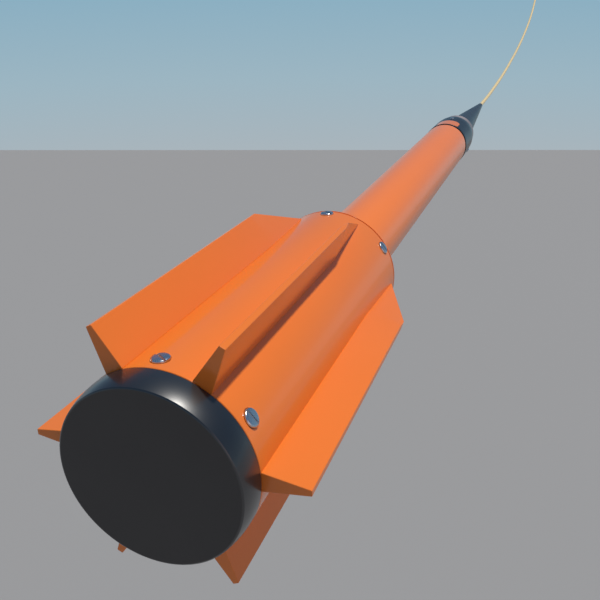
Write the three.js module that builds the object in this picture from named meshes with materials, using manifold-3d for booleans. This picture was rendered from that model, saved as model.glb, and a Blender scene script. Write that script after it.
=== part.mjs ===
// Towed sensor fish: a slim tubular body with a six-finned tail sleeve, a nose cap, a long tapered
// bend restrictor and its tow cable. Millimetres, +X forward along the body, +Z up.
// The origin is the tow point, in the mouth of the bend restrictor where the cable leaves the body.
import * as THREE from 'three';
import { mergeVertices } from 'three/addons/utils/BufferGeometryUtils.js';
import { ConvexGeometry } from 'three/addons/geometries/ConvexGeometry.js';
import Module from 'manifold-3d';

const wasm = await Module();
wasm.setup();

// ---- Driving dimensions -----------------------------------------------------------------------
// Stations are measured forward from the rear rim of the fin sleeve.
const CLEARANCE = 0.3;            // between pieces that touch or slide in one another

const TUBE_OUTER_R = 38;          // body tube
const TUBE_WALL = 3;
const TUBE_LENGTH = 1004;
const TUBE_EDGE = 1.2;

const SLEEVE_OUTER_R = 62;        // fin sleeve
const SLEEVE_WALL = 5;
const SLEEVE_LENGTH = 331;
const SLEEVE_EDGE = 0.8;
const RIM_LIP = 1.2;              // lip and groove at the front rim of the sleeve
const RIM_GROOVE_WIDTH = 2;
const RIM_GROOVE_DEPTH = 1.5;

const FIN_SPAN = 30;              // fins, from the sleeve to their tips
const FIN_ROOT_THICKNESS = 13.2;
const FIN_TIP_THICKNESS = 4.2;
const FIN_SETBACK = 12;           // front end of the root from the sleeve's front rim
const FIN_SWEEP = 82;             // from the front end of the tip to that of the root
const FIN_BEVEL_LENGTH = 13;      // knife-edged stretch at the tip
const FIN_V_HALF_ANGLE = 27.1;    // upper and lower fins, each side of vertical
const TENON_WIDTH = 4;
const TENON_DEPTH = 2.6;
const TENON_START = 8;
const TENON_SETBACK = 69;         // from the front end of the root

const SCREW_RING_TURN = 3.2;      // degrees, first of four M6 slotted screws in each ring, from the top
const SCREW_SIDE_ANGLE = 56.8;    // degrees, second screw from the top, on the other side
const SCREW_EDGE_DISTANCE = 11;   // from each rim of the sleeve
const SCREW_R = 3;
const SCREW_HEAD_R = 6;
const SCREW_HEAD_HEIGHT = 2.1;
const SCREW_SLOT_WIDTH = 1.6;
const SCREW_SLOT_DEPTH = 1.1;
const SCREW_SEAT_DEPTH = 0.7;
const SCREW_TIP_GAP = 7.6;        // from the tip of a screw to the body tube

const BULKHEAD_LENGTH = 18;       // rings between tube and sleeve
const BULKHEAD_SETBACK = 2;
const DRAIN_HOLE_EDGE = 3;        // wall left beside each drain hole
const DRAIN_HOLE_COUNT = 3;
const DRAIN_HOLE_TURN = 33.2;     // degrees, first hole from the top

const CAP_LENGTH = 19.5;          // tail cap
const CAP_EDGE = 2.2;
const CAP_SPIGOT_LENGTH = 34;
const CAP_SPIGOT_WALL = 7;
const ORING_R = 1.9;              // section radius of both O-rings
const ORING_SQUEEZE = 1.2;        // depth by which the groove is shallower than the ring
const ORING_SETBACK = 12;         // groove centre from the shoulder of its spigot

const NOSE_SPIGOT_LENGTH = 46;    // nose bulkhead and nose cap
const NOSE_FLANGE = 4;
const NOSE_CAP_STEP = 0.6;        // nose cap proud of the body tube
const NOSE_CAP_WALL = 5.3;
const NOSE_CAP_FRONT_WALL = 26;
const NOSE_CAP_LENGTH = 110;
const NOSE_CAP_DOME = 40;
const NOSE_SCREW_COUNT = 3;
const NOSE_SCREW_SETBACK = 44;    // from the front of the nose cap
const NOSE_SCREW_R = 2;
const NOSE_SCREW_HEAD_R = 4;
const NOSE_SCREW_HEAD_HEIGHT = 2;
const NOSE_SCREW_LENGTH = 14;

const KEY_HALF_ANGLE = 30;        // orange key in the window of the nose cap
const KEY_START = 4;              // from the rear edge of the nose cap
const KEY_LENGTH = 38;
const KEY_BITE = 1.5;             // into the boss

const RING_R = 34.2;                // metal ring in front of the nose cap
const RING_LENGTH = 26;

const CONE_BASE_R = 27.6;         // bend restrictor
const CONE_TIP_WALL = 0.9;
const CONE_LENGTH = 403;
const CONE_POCKET_LENGTH = 26;

const GLAND_R = 12;               // cable gland, screwed into the nose bulkhead
const GLAND_NUT_R = 15;
const GLAND_NUT_LENGTH = 12;
const GLAND_REACH = 40;           // into the nose bulkhead

const CABLE_R = 4;                // tow cable
const CABLE_TAIL = 30;            // inside the body tube, behind the nose bulkhead
const CLAMP_R = 12;
const CLAMP_LENGTH = 18;

const FLASK_SETBACK = 204;        // sensor flask, from the front of the body tube
const FLASK_LENGTH = 104;
const COIL_BUILD = 5;             // winding on the flask
const COIL_ROD_GAP = 0.5;
const COIL_LENGTH = 66;
const CRADLE_LENGTH = 14;         // two foam cradles that hold the flask

const TRAY_GAP = 40;              // electronics tray, behind the flask
const TRAY_LENGTH = 340;
const TRAY_SIDE_GAP = 7;          // from the wall of the tube
const TRAY_THICKNESS = 3;
const TRAY_DROP = 12;             // below the centre line
const TRAY_DISC_LENGTH = 5;
const BOARD_LENGTH = 280;
const BOARD_MARGIN = 3;
const BOARD_THICKNESS = 1.6;
const BOARD_LIFT = 4;
const COUNTER_SIZE = [70, 36, 16];
const POWER_SIZE = [54, 32, 20];
const ROD_R = 2.5;
const ROD_WALL_GAP = 2.5;         // from the wall of the tube

const TRIM_DISC_START = 200;      // trim weight behind the tail cap
const TRIM_ROD_R = 4;
const TRIM_ROD_LENGTH = 130;
const TRIM_WEIGHT_GAP = 5;        // from the wall of the tube
const TRIM_WEIGHT_LENGTH = 36;

// Route of the tow cable from the tow point, as [forward, up]. Its last stretch is straight.
const CABLE_ROUTE = [
  [0, 0], [40, 0], [90, 0.4], [160, 1.5], [230, 3.2], [305, 5.6], [440, 10.8], [586, 17.8],
  [735, 27.2], [888, 39], [1075, 54], [1265, 74], [1440, 95.5], [1605, 119.5], [1745, 144.5],
  [1868, 172], [1945, 195], [2010, 219], [2070, 244.5], [2170, 288.5], [2210, 306.1],
];
const CABLE_STEPS = 80;
const CABLE_SIDES = 8;

const BOOT_LENGTH = 62;           // deck end of the cable, along its last straight
const BOOT_TIP_WALL = 1.5;
const BOOT_LARGE_R = 13;
const SOCKET_R = 14;
const SOCKET_LENGTH = 46;
const PIVOT_SETBACK = 16;         // bail pivot from the front of the socket
const PIVOT_R = 4;
const PIVOT_DEPTH = 6;
const BAIL_HALF_WIDTH = 20.5;     // to the middle of its arms
const BAIL_BAR_R = 3.2;
const BAIL_REACH = 84;            // pivot to the middle of the bow
const BAIL_BOSS_R = 7.5;
const PLUG_R = 9;
const PLUG_LENGTH = 34;
const COUPLING_R = 13.5;
const COUPLING_LENGTH = 22;
const COUPLING_SETOFF = 6;
const COUPLING_RIBS = 12;
const CONTACT_COUNT = 4;
const CONTACT_R = 0.9;
const CONTACT_CIRCLE_R = 3.4;

// ---- Derived stations -------------------------------------------------------------------------
const TUBE_INNER_R = TUBE_OUTER_R - TUBE_WALL;
const SLEEVE_INNER_R = SLEEVE_OUTER_R - SLEEVE_WALL;
const SPIGOT_R = TUBE_INNER_R - CLEARANCE;
const GROOVE_R = TUBE_INNER_R - 2 * ORING_R + ORING_SQUEEZE;
const SEAT_R = SLEEVE_OUTER_R - SCREW_SEAT_DEPTH;
const SCREW_LENGTH = SEAT_R + CLEARANCE - TUBE_OUTER_R - SCREW_TIP_GAP;
const FIN_TIP_R = SLEEVE_OUTER_R + FIN_SPAN;
const FIN_ROOT_LENGTH = SLEEVE_LENGTH - FIN_SETBACK;
const FIN_TIP_LENGTH = FIN_ROOT_LENGTH - FIN_SWEEP;
const FIN_FULL_LENGTH = FIN_TIP_LENGTH - FIN_BEVEL_LENGTH;
const TENON_END = FIN_ROOT_LENGTH - TENON_SETBACK;
const NOSE_CAP_R = TUBE_OUTER_R + NOSE_CAP_STEP;
const NOSE_BOSS_R = NOSE_CAP_R - NOSE_CAP_WALL - CLEARANCE;
const NOSE_CAP_START = TUBE_LENGTH + NOSE_FLANGE + CLEARANCE;
const NOSE_CAP_END = NOSE_CAP_START + NOSE_CAP_LENGTH;
const BOSS_END = NOSE_CAP_END - NOSE_CAP_FRONT_WALL - CLEARANCE;
const RING_START = NOSE_CAP_END + CLEARANCE;
const RING_END = RING_START + RING_LENGTH;
const CONE_START = RING_END + CLEARANCE;
const CONE_END = CONE_START + CONE_LENGTH;
const TOW_STATION = CONE_END;
const CABLE_BORE_R = CABLE_R + CLEARANCE;
const CONE_TIP_R = CABLE_BORE_R + CONE_TIP_WALL;
const BOOT_SMALL_R = CABLE_BORE_R + BOOT_TIP_WALL;
const ROD_SPREAD = TUBE_INNER_R - ROD_WALL_GAP - ROD_R;
const TRIM_WEIGHT_R = TUBE_INNER_R - TRIM_WEIGHT_GAP;
const FLASK_START = TUBE_LENGTH - FLASK_SETBACK;
const FLASK_R = ROD_SPREAD - ROD_R - COIL_ROD_GAP - COIL_BUILD - CLEARANCE;
const TRAY_START = FLASK_START - TRAY_GAP - TRAY_LENGTH;
const TRAY_WIDTH = 2 * (TUBE_INNER_R - TRAY_SIDE_GAP);
const BOARD_WIDTH = TRAY_WIDTH - 2 * BOARD_MARGIN;
const ROUND = 32;                 // facets of the round shapes, by size
const INNER_ROUND = 20;
const SMALL_ROUND = 12;
const HOLE_ROUND = 8;

// ---- Solids -----------------------------------------------------------------------------------
// Turns a closed three.js geometry into a solid with its faces pointing out.
function solid(geometry) {
  const bare = geometry.clone();
  bare.deleteAttribute('normal');
  bare.deleteAttribute('uv');
  const merged = mergeVertices(bare, 1e-4);
  const positions = merged.attributes.position.array;
  const corner = (i) => new THREE.Vector3().fromArray(positions, 3 * i);
  const triangles = [];
  let volume = 0;
  for (let i = 0; i < merged.index.count; i += 3) {
    const [a, b, c] = [merged.index.getX(i), merged.index.getX(i + 1), merged.index.getX(i + 2)];
    if (a !== b && b !== c && c !== a) {
      triangles.push(a, b, c);
      volume += corner(a).dot(corner(b).cross(corner(c)));
    }
  }
  if (volume < 0) {
    triangles.reverse();
  }
  return new wasm.Manifold(new wasm.Mesh({
    numProp: 3,
    vertProperties: new Float32Array(positions),
    triVerts: new Uint32Array(triangles),
  }));
}

function geometryOf(body) {
  const mesh = body.getMesh();
  const geometry = new THREE.BufferGeometry();
  geometry.setAttribute('position', new THREE.BufferAttribute(new Float32Array(mesh.vertProperties), 3));
  geometry.setIndex(new THREE.BufferAttribute(new Uint32Array(mesh.triVerts), 1));
  geometry.computeVertexNormals();
  return geometry;
}

// Solid of revolution about X from [station, radius] corners.
function turned(profile, segments = ROUND) {
  const points = profile.map(([station, radius]) => new THREE.Vector2(radius, station));
  return solid(new THREE.LatheGeometry(points, segments).rotateZ(-Math.PI / 2));
}

// Ring or tube about X between two stations.
function hollow(start, end, innerR, outerR, segments = ROUND) {
  return turned([
    [start, innerR], [end, innerR], [end, outerR], [start, outerR], [start, innerR],
  ], segments);
}

function disc(start, end, radius, segments = ROUND) {
  return turned([[start, 0], [start, radius], [end, radius], [end, 0]], segments);
}

// Rod parallel to X at a given place across the body.
function rodAlong(start, end, radius, y, z, segments = HOLE_ROUND) {
  const geometry = new THREE.CylinderGeometry(radius, radius, end - start, segments);
  geometry.rotateZ(-Math.PI / 2).translate((start + end) / 2, y, z);
  return solid(geometry);
}

function box(start, end, yLow, yHigh, zLow, zHigh) {
  const geometry = new THREE.BoxGeometry(end - start, yHigh - yLow, zHigh - zLow);
  return solid(geometry.translate((start + end) / 2, (yLow + yHigh) / 2, (zLow + zHigh) / 2));
}

// Pin that points outward from the centre line at an angle in degrees from +Z towards +Y.
function radialPin(station, angle, fromR, toR, radius, segments = HOLE_ROUND) {
  const geometry = new THREE.CylinderGeometry(radius, radius, toR - fromR, segments);
  geometry.rotateX(Math.PI / 2).translate(0, 0, (fromR + toR) / 2);
  return solid(geometry.rotateX(-THREE.MathUtils.degToRad(angle)).translate(station, 0, 0));
}

function arcPoints(centreStation, centreR, radiusX, radiusR, fromDegrees, toDegrees, count) {
  const points = [];
  for (let i = 0; i <= count; i += 1) {
    const angle = THREE.MathUtils.degToRad(fromDegrees + (toDegrees - fromDegrees) * i / count);
    points.push([centreStation + radiusX * Math.cos(angle), centreR + radiusR * Math.sin(angle)]);
  }
  return points;
}

// ---- Scene graph ------------------------------------------------------------------------------
const FINISHES = {
  orange: { color: 0xe9793f, roughness: 0.42, metalness: 0 },
  black: { color: 0x1b1d22, roughness: 0.25, metalness: 0 },
  boot: { color: 0x202b3a, roughness: 0.45, metalness: 0 },
  steel: { color: 0x9aa3ad, roughness: 0.3, metalness: 1 },
  aluminium: { color: 0xb9bdc2, roughness: 0.4, metalness: 1 },
  brass: { color: 0xb08a45, roughness: 0.35, metalness: 1 },
  copper: { color: 0xb0643a, roughness: 0.4, metalness: 1 },
  cable: { color: 0xdcc27e, roughness: 0.5, metalness: 0 },
  rubber: { color: 0x151515, roughness: 0.8, metalness: 0 },
  board: { color: 0x24573a, roughness: 0.5, metalness: 0 },
  foam: { color: 0xd8d4c8, roughness: 0.95, metalness: 0 },
  flask: { color: 0xe8e4d6, roughness: 0.35, metalness: 0 },
};

const part = new THREE.Group();
const hull = new THREE.Group();   // everything on the body, by station
hull.position.x = -TOW_STATION;
part.add(hull);

function add(parent, name, finish, body) {
  const mesh = new THREE.Mesh(geometryOf(body), new THREE.MeshStandardMaterial(FINISHES[finish]));
  mesh.name = name;
  parent.add(mesh);
  return mesh;
}

// ---- Fin sleeve, fins and screws --------------------------------------------------------------
const FIN_ANGLES = [
  FIN_V_HALF_ANGLE, -FIN_V_HALF_ANGLE, -90, 180 + FIN_V_HALF_ANGLE, 180 - FIN_V_HALF_ANGLE, 90,
];
const SCREW_ANGLES = [SCREW_RING_TURN, -SCREW_SIDE_ANGLE, SCREW_RING_TURN - 180, 180 - SCREW_SIDE_ANGLE];
const SCREW_STATIONS = { rear: SCREW_EDGE_DISTANCE, front: SLEEVE_LENGTH - SCREW_EDGE_DISTANCE };

function finSleeve() {
  const lip = SLEEVE_LENGTH - RIM_LIP;
  const grooveFloor = SLEEVE_OUTER_R - RIM_GROOVE_DEPTH;
  let body = turned([
    [0, SLEEVE_INNER_R], [SLEEVE_LENGTH, SLEEVE_INNER_R],
    [SLEEVE_LENGTH, SLEEVE_OUTER_R - SLEEVE_EDGE], [SLEEVE_LENGTH - SLEEVE_EDGE, SLEEVE_OUTER_R],
    [lip, SLEEVE_OUTER_R], [lip, grooveFloor],
    [lip - RIM_GROOVE_WIDTH, grooveFloor], [lip - RIM_GROOVE_WIDTH, SLEEVE_OUTER_R],
    [SLEEVE_EDGE, SLEEVE_OUTER_R], [0, SLEEVE_OUTER_R - SLEEVE_EDGE], [0, SLEEVE_INNER_R],
  ]);
  for (const station of Object.values(SCREW_STATIONS)) {
    for (const angle of SCREW_ANGLES) {
      const outside = SLEEVE_OUTER_R + 5;
      body = body.subtract(radialPin(station, angle, SLEEVE_INNER_R - 2, outside, SCREW_R + CLEARANCE));
      body = body.subtract(
        radialPin(station, angle, SEAT_R, outside, SCREW_HEAD_R + CLEARANCE, SMALL_ROUND),
      );
    }
  }
  const slotHalf = TENON_WIDTH / 2 + CLEARANCE;
  const slotFloor = SLEEVE_OUTER_R - TENON_DEPTH - CLEARANCE;
  for (const angle of FIN_ANGLES) {
    const slot = box(
      TENON_START - CLEARANCE, TENON_END + CLEARANCE, -slotHalf, slotHalf, slotFloor, FIN_TIP_R,
    );
    body = body.subtract(slot.rotate([-angle, 0, 0]));
  }
  return body;
}

// A fin points up here: a wedge-shaped blade with a knife-edged swept front and a root tenon.
function fin() {
  const sunkR = SLEEVE_INNER_R;
  const halfAt = (r) => {
    const share = (r - SLEEVE_OUTER_R) / (FIN_TIP_R - SLEEVE_OUTER_R);
    return (FIN_ROOT_THICKNESS + (FIN_TIP_THICKNESS - FIN_ROOT_THICKNESS) * share) / 2;
  };
  const sweep = (FIN_ROOT_LENGTH - FIN_TIP_LENGTH) / (FIN_TIP_R - SLEEVE_OUTER_R);
  const corners = [];
  for (const side of [-1, 1]) {
    for (const station of [0, FIN_FULL_LENGTH]) {
      corners.push(new THREE.Vector3(station, side * halfAt(sunkR), sunkR));
      corners.push(new THREE.Vector3(station, side * halfAt(FIN_TIP_R), FIN_TIP_R));
    }
  }
  corners.push(new THREE.Vector3(FIN_TIP_LENGTH, 0, FIN_TIP_R));
  corners.push(new THREE.Vector3(FIN_ROOT_LENGTH + sweep * (SLEEVE_OUTER_R - sunkR), 0, sunkR));
  const blade = solid(new ConvexGeometry(corners));
  const seated = blade.subtract(disc(-10, SLEEVE_LENGTH + 20, SLEEVE_OUTER_R + CLEARANCE));
  const tenon = box(
    TENON_START, TENON_END, -TENON_WIDTH / 2, TENON_WIDTH / 2,
    SLEEVE_OUTER_R - TENON_DEPTH, SLEEVE_OUTER_R + 3,
  );
  return seated.add(tenon);
}

// A slotted pan-head screw that points outward from the centre line, with its head on seatR.
function slottedScrew(seatR, radius, headR, headHeight, length, slotWidth, slotDepth) {
  const underside = seatR + CLEARANCE;
  const top = underside + headHeight;
  const profile = [
    [underside - length, 0], [underside - length, radius], [underside, radius], [underside, headR],
    [underside + 0.55 * headHeight, headR], [underside + 0.88 * headHeight, 0.86 * headR],
    [top, 0.5 * headR], [top, 0],
  ];
  const body = turned(profile, SMALL_ROUND).rotate([0, -90, 0]);
  const slot = box(-2 * headR, 2 * headR, -slotWidth / 2, slotWidth / 2, top - slotDepth, top + 5);
  return body.subtract(slot);
}

add(hull, 'fin_sleeve', 'orange', finSleeve());

FIN_ANGLES.forEach((angle, i) => {
  const mesh = add(hull, `fin_${i + 1}`, 'orange', fin());
  mesh.rotation.x = -THREE.MathUtils.degToRad(angle);
});

const SLOT_TURNS = [55, 102, 5, 110];   // degrees, as each screw came tight
for (const [place, station] of Object.entries(SCREW_STATIONS)) {
  SCREW_ANGLES.forEach((angle, i) => {
    const holder = new THREE.Group();
    holder.position.x = station;
    holder.rotation.x = -THREE.MathUtils.degToRad(angle);
    hull.add(holder);
    const screw = slottedScrew(
      SEAT_R, SCREW_R, SCREW_HEAD_R, SCREW_HEAD_HEIGHT, SCREW_LENGTH, SCREW_SLOT_WIDTH, SCREW_SLOT_DEPTH,
    );
    const mesh = add(holder, `${place}_screw_${i + 1}`, 'steel', screw);
    mesh.rotation.z = THREE.MathUtils.degToRad(SLOT_TURNS[i % SLOT_TURNS.length]);
  });
}

// ---- Rings between the body tube and the sleeve -----------------------------------------------
function sleeveBulkhead(start, screwStation) {
  let body = hollow(
    start, start + BULKHEAD_LENGTH, TUBE_OUTER_R + CLEARANCE, SLEEVE_INNER_R - CLEARANCE,
  );
  for (const angle of SCREW_ANGLES) {
    const tipR = SEAT_R - SCREW_LENGTH - 1;
    body = body.subtract(radialPin(screwStation, angle, tipR, SLEEVE_OUTER_R, SCREW_R + CLEARANCE));
  }
  const holeR = (TUBE_OUTER_R + SLEEVE_INNER_R) / 2;
  const drainR = (SLEEVE_INNER_R - TUBE_OUTER_R) / 2 - CLEARANCE - DRAIN_HOLE_EDGE;
  for (let i = 0; i < DRAIN_HOLE_COUNT; i += 1) {
    const angle = THREE.MathUtils.degToRad(DRAIN_HOLE_TURN + i * 360 / DRAIN_HOLE_COUNT);
    const hole = rodAlong(
      start - 5, start + BULKHEAD_LENGTH + 5, drainR, holeR * Math.sin(angle), holeR * Math.cos(angle),
    );
    body = body.subtract(hole);
  }
  return body;
}

add(hull, 'rear_bulkhead', 'black', sleeveBulkhead(BULKHEAD_SETBACK, SCREW_STATIONS.rear));
add(hull, 'front_bulkhead', 'orange', sleeveBulkhead(
  SLEEVE_LENGTH - BULKHEAD_SETBACK - BULKHEAD_LENGTH, SCREW_STATIONS.front,
));

// ---- Body tube --------------------------------------------------------------------------------
add(hull, 'body_tube', 'orange', turned([
  [0, TUBE_INNER_R], [TUBE_LENGTH, TUBE_INNER_R], [TUBE_LENGTH, TUBE_OUTER_R - TUBE_EDGE],
  [TUBE_LENGTH - TUBE_EDGE, TUBE_OUTER_R], [0, TUBE_OUTER_R], [0, TUBE_INNER_R],
]));

// ---- Tail cap with its O-ring -----------------------------------------------------------------
function oRing(station) {
  const centreR = GROOVE_R + ORING_R;
  const shallow = ORING_R - ORING_SQUEEZE / 2 - CLEARANCE / 2;
  const points = arcPoints(station, centreR - ORING_SQUEEZE / 2, ORING_R, shallow, 0, 360, 6);
  points[points.length - 1] = points[0];
  return turned(points, INNER_ROUND);
}

// Corners of an O-ring groove in a spigot, from the lower station to the higher.
function groove(station) {
  const half = ORING_R + CLEARANCE;
  const floorR = GROOVE_R - CLEARANCE;
  return [
    [station - half, SPIGOT_R], [station - half, floorR],
    [station + half, floorR], [station + half, SPIGOT_R],
  ];
}

add(hull, 'tail_cap', 'black', turned([
  [-CAP_LENGTH - CLEARANCE, 0],
  ...arcPoints(
    -CAP_LENGTH - CLEARANCE + CAP_EDGE, SLEEVE_OUTER_R - CAP_EDGE, CAP_EDGE, CAP_EDGE, 180, 90, 3,
  ),
  [-CLEARANCE, SLEEVE_OUTER_R], [-CLEARANCE, SPIGOT_R],
  ...groove(ORING_SETBACK),
  [CAP_SPIGOT_LENGTH - 2, SPIGOT_R], [CAP_SPIGOT_LENGTH, SPIGOT_R - 2],
  [CAP_SPIGOT_LENGTH, SPIGOT_R - CAP_SPIGOT_WALL], [0, SPIGOT_R - CAP_SPIGOT_WALL], [0, 0],
]));
add(hull, 'tail_oring', 'rubber', oRing(ORING_SETBACK));

// ---- Trim weight behind the tail cap ----------------------------------------------------------
const trimWeightEnd = TRIM_DISC_START - CLEARANCE;
add(hull, 'trim_rod', 'steel', rodAlong(
  TRIM_DISC_START - TRIM_ROD_LENGTH, TRIM_DISC_START + TRAY_DISC_LENGTH, TRIM_ROD_R, 0, 0,
));
add(hull, 'trim_disc', 'aluminium', hollow(
  TRIM_DISC_START, TRIM_DISC_START + TRAY_DISC_LENGTH, TRIM_ROD_R + CLEARANCE, TUBE_INNER_R - CLEARANCE,
  INNER_ROUND,
));
add(hull, 'trim_weight', 'brass', hollow(
  trimWeightEnd - TRIM_WEIGHT_LENGTH, trimWeightEnd, TRIM_ROD_R + CLEARANCE, TRIM_WEIGHT_R, INNER_ROUND,
));

// ---- Electronics tray -------------------------------------------------------------------------
const TRAY_END = TRAY_START + TRAY_LENGTH;
const ROD_END = TUBE_LENGTH - NOSE_SPIGOT_LENGTH - CLEARANCE;

function withRodHoles(body, start, end) {
  let drilled = body;
  for (const y of [-ROD_SPREAD, ROD_SPREAD]) {
    drilled = drilled.subtract(rodAlong(start - 5, end + 5, ROD_R + CLEARANCE, y, 0));
  }
  return drilled;
}

function trayDisc(start) {
  const end = start + TRAY_DISC_LENGTH;
  return withRodHoles(hollow(start, end, 6, TUBE_INNER_R - CLEARANCE, INNER_ROUND), start, end);
}

const TRAY_TOP = -TRAY_DROP + TRAY_THICKNESS;
const BOARD_START = TRAY_START + (TRAY_LENGTH - BOARD_LENGTH) / 2;
const BOARD_BOTTOM = TRAY_TOP + BOARD_LIFT;
const BOARD_TOP = BOARD_BOTTOM + BOARD_THICKNESS;

add(hull, 'tray_rear_disc', 'aluminium', trayDisc(TRAY_START - CLEARANCE - TRAY_DISC_LENGTH));
add(hull, 'tray_front_disc', 'aluminium', trayDisc(TRAY_END + CLEARANCE));
add(hull, 'electronics_tray', 'aluminium', electronicsTray());
add(hull, 'main_board', 'board', box(
  BOARD_START, BOARD_START + BOARD_LENGTH, -BOARD_WIDTH / 2, BOARD_WIDTH / 2, BOARD_BOTTOM, BOARD_TOP,
));
add(hull, 'counter_module', 'steel', moduleBlock(BOARD_START + 30, COUNTER_SIZE));
add(hull, 'power_module', 'black', moduleBlock(BOARD_START + BOARD_LENGTH - 30 - POWER_SIZE[0], POWER_SIZE));
for (const [side, y] of [['left', ROD_SPREAD], ['right', -ROD_SPREAD]]) {
  add(hull, `${side}_rod`, 'aluminium', rodAlong(
    TRAY_START - 2 * TRAY_DISC_LENGTH, ROD_END, ROD_R, y, 0,
  ));
}

// The tray is a plate with four standoffs that carry the board.
function electronicsTray() {
  let body = box(
    TRAY_START, TRAY_END, -TRAY_WIDTH / 2, TRAY_WIDTH / 2, TRAY_TOP - TRAY_THICKNESS, TRAY_TOP,
  );
  for (const station of [BOARD_START + 10, BOARD_START + BOARD_LENGTH - 10]) {
    for (const y of [-BOARD_WIDTH / 2 + 5, BOARD_WIDTH / 2 - 5]) {
      const height = BOARD_LIFT - CLEARANCE + 1;
      const standoff = new THREE.CylinderGeometry(3, 3, height, HOLE_ROUND);
      standoff.rotateX(Math.PI / 2).translate(station, y, TRAY_TOP - 1 + height / 2);
      body = body.add(solid(standoff));
    }
  }
  return body;
}

function moduleBlock(start, [length, width, height]) {
  const bottom = BOARD_TOP + CLEARANCE;
  return box(start, start + length, -width / 2, width / 2, bottom, bottom + height);
}

// ---- Sensor flask, winding and cradles --------------------------------------------------------
const FLASK_END = FLASK_START + FLASK_LENGTH;
const COIL_START = FLASK_START + (FLASK_LENGTH - COIL_LENGTH) / 2;

function cradle(start) {
  const end = start + CRADLE_LENGTH;
  const foam = hollow(start, end, FLASK_R + CLEARANCE, TUBE_INNER_R - CLEARANCE, INNER_ROUND);
  return withRodHoles(foam, start, end);
}

add(hull, 'sensor_flask', 'flask', turned([
  [FLASK_START, 0], [FLASK_START, FLASK_R - 3], [FLASK_START + 3, FLASK_R],
  [FLASK_END - 3, FLASK_R], [FLASK_END, FLASK_R - 3], [FLASK_END, 7], [FLASK_END + 10, 7],
  [FLASK_END + 10, 0],
], INNER_ROUND));
add(hull, 'sensor_winding', 'copper', hollow(
  COIL_START, COIL_START + COIL_LENGTH, FLASK_R + CLEARANCE, FLASK_R + CLEARANCE + COIL_BUILD, INNER_ROUND,
));
add(hull, 'rear_cradle', 'foam', cradle(FLASK_START + 3));
add(hull, 'front_cradle', 'foam', cradle(FLASK_END - 3 - CRADLE_LENGTH));

// ---- Nose bulkhead, cap, key, ring and screws -------------------------------------------------
const KEY_REAR = NOSE_CAP_START + KEY_START;
const NOSE_SCREW_STATION = NOSE_CAP_END - NOSE_SCREW_SETBACK;
const NOSE_SCREW_ANGLES = Array.from({ length: NOSE_SCREW_COUNT }, (_, i) => i * 360 / NOSE_SCREW_COUNT);
const NOSE_SEAT_R = NOSE_CAP_R - 0.6;

// Curved block about the top of the nose, with its corners rounded off.
function keyBlock(start, length, halfAngle, innerR, outerR, cornerR) {
  const halfWidth = Math.sin(THREE.MathUtils.degToRad(halfAngle)) * outerR;
  const outline = new THREE.Shape();
  outline.absarc(start + cornerR, -halfWidth + cornerR, cornerR, Math.PI, 1.5 * Math.PI);
  outline.absarc(start + length - cornerR, -halfWidth + cornerR, cornerR, 1.5 * Math.PI, 2 * Math.PI);
  outline.absarc(start + length - cornerR, halfWidth - cornerR, cornerR, 0, 0.5 * Math.PI);
  outline.absarc(start + cornerR, halfWidth - cornerR, cornerR, 0.5 * Math.PI, Math.PI);
  outline.closePath();
  const prism = solid(new THREE.ExtrudeGeometry(outline, {
    depth: outerR + 5, bevelEnabled: false, curveSegments: 4,
  }));
  return prism.intersect(hollow(start - 5, start + length + 5, innerR, outerR));
}

function noseBulkhead() {
  const spigotStart = TUBE_LENGTH - NOSE_SPIGOT_LENGTH;
  const grooveStation = TUBE_LENGTH - ORING_SETBACK;
  let body = turned([
    [spigotStart, CABLE_BORE_R], [spigotStart, SPIGOT_R - 2], [spigotStart + 2, SPIGOT_R],
    ...groove(grooveStation),
    [TUBE_LENGTH + CLEARANCE, SPIGOT_R], [TUBE_LENGTH + CLEARANCE, TUBE_OUTER_R - 0.5],
    [TUBE_LENGTH + NOSE_FLANGE, TUBE_OUTER_R - 0.5], [TUBE_LENGTH + NOSE_FLANGE, NOSE_BOSS_R],
    [BOSS_END, NOSE_BOSS_R], [BOSS_END, GLAND_R + CLEARANCE],
    [BOSS_END - GLAND_REACH - CLEARANCE, GLAND_R + CLEARANCE],
    [BOSS_END - GLAND_REACH - CLEARANCE, CABLE_BORE_R], [spigotStart, CABLE_BORE_R],
  ]);
  const pocketR = NOSE_BOSS_R - KEY_BITE - CLEARANCE;
  body = body.subtract(keyBlock(
    KEY_REAR - CLEARANCE, KEY_LENGTH + 2 * CLEARANCE, KEY_HALF_ANGLE + 1, pocketR, NOSE_CAP_R + 2, 8,
  ));
  for (const angle of NOSE_SCREW_ANGLES) {
    const tipR = NOSE_SEAT_R - NOSE_SCREW_LENGTH - 1;
    body = body.subtract(
      radialPin(NOSE_SCREW_STATION, angle, tipR, NOSE_CAP_R, NOSE_SCREW_R + CLEARANCE),
    );
  }
  return body;
}

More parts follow.
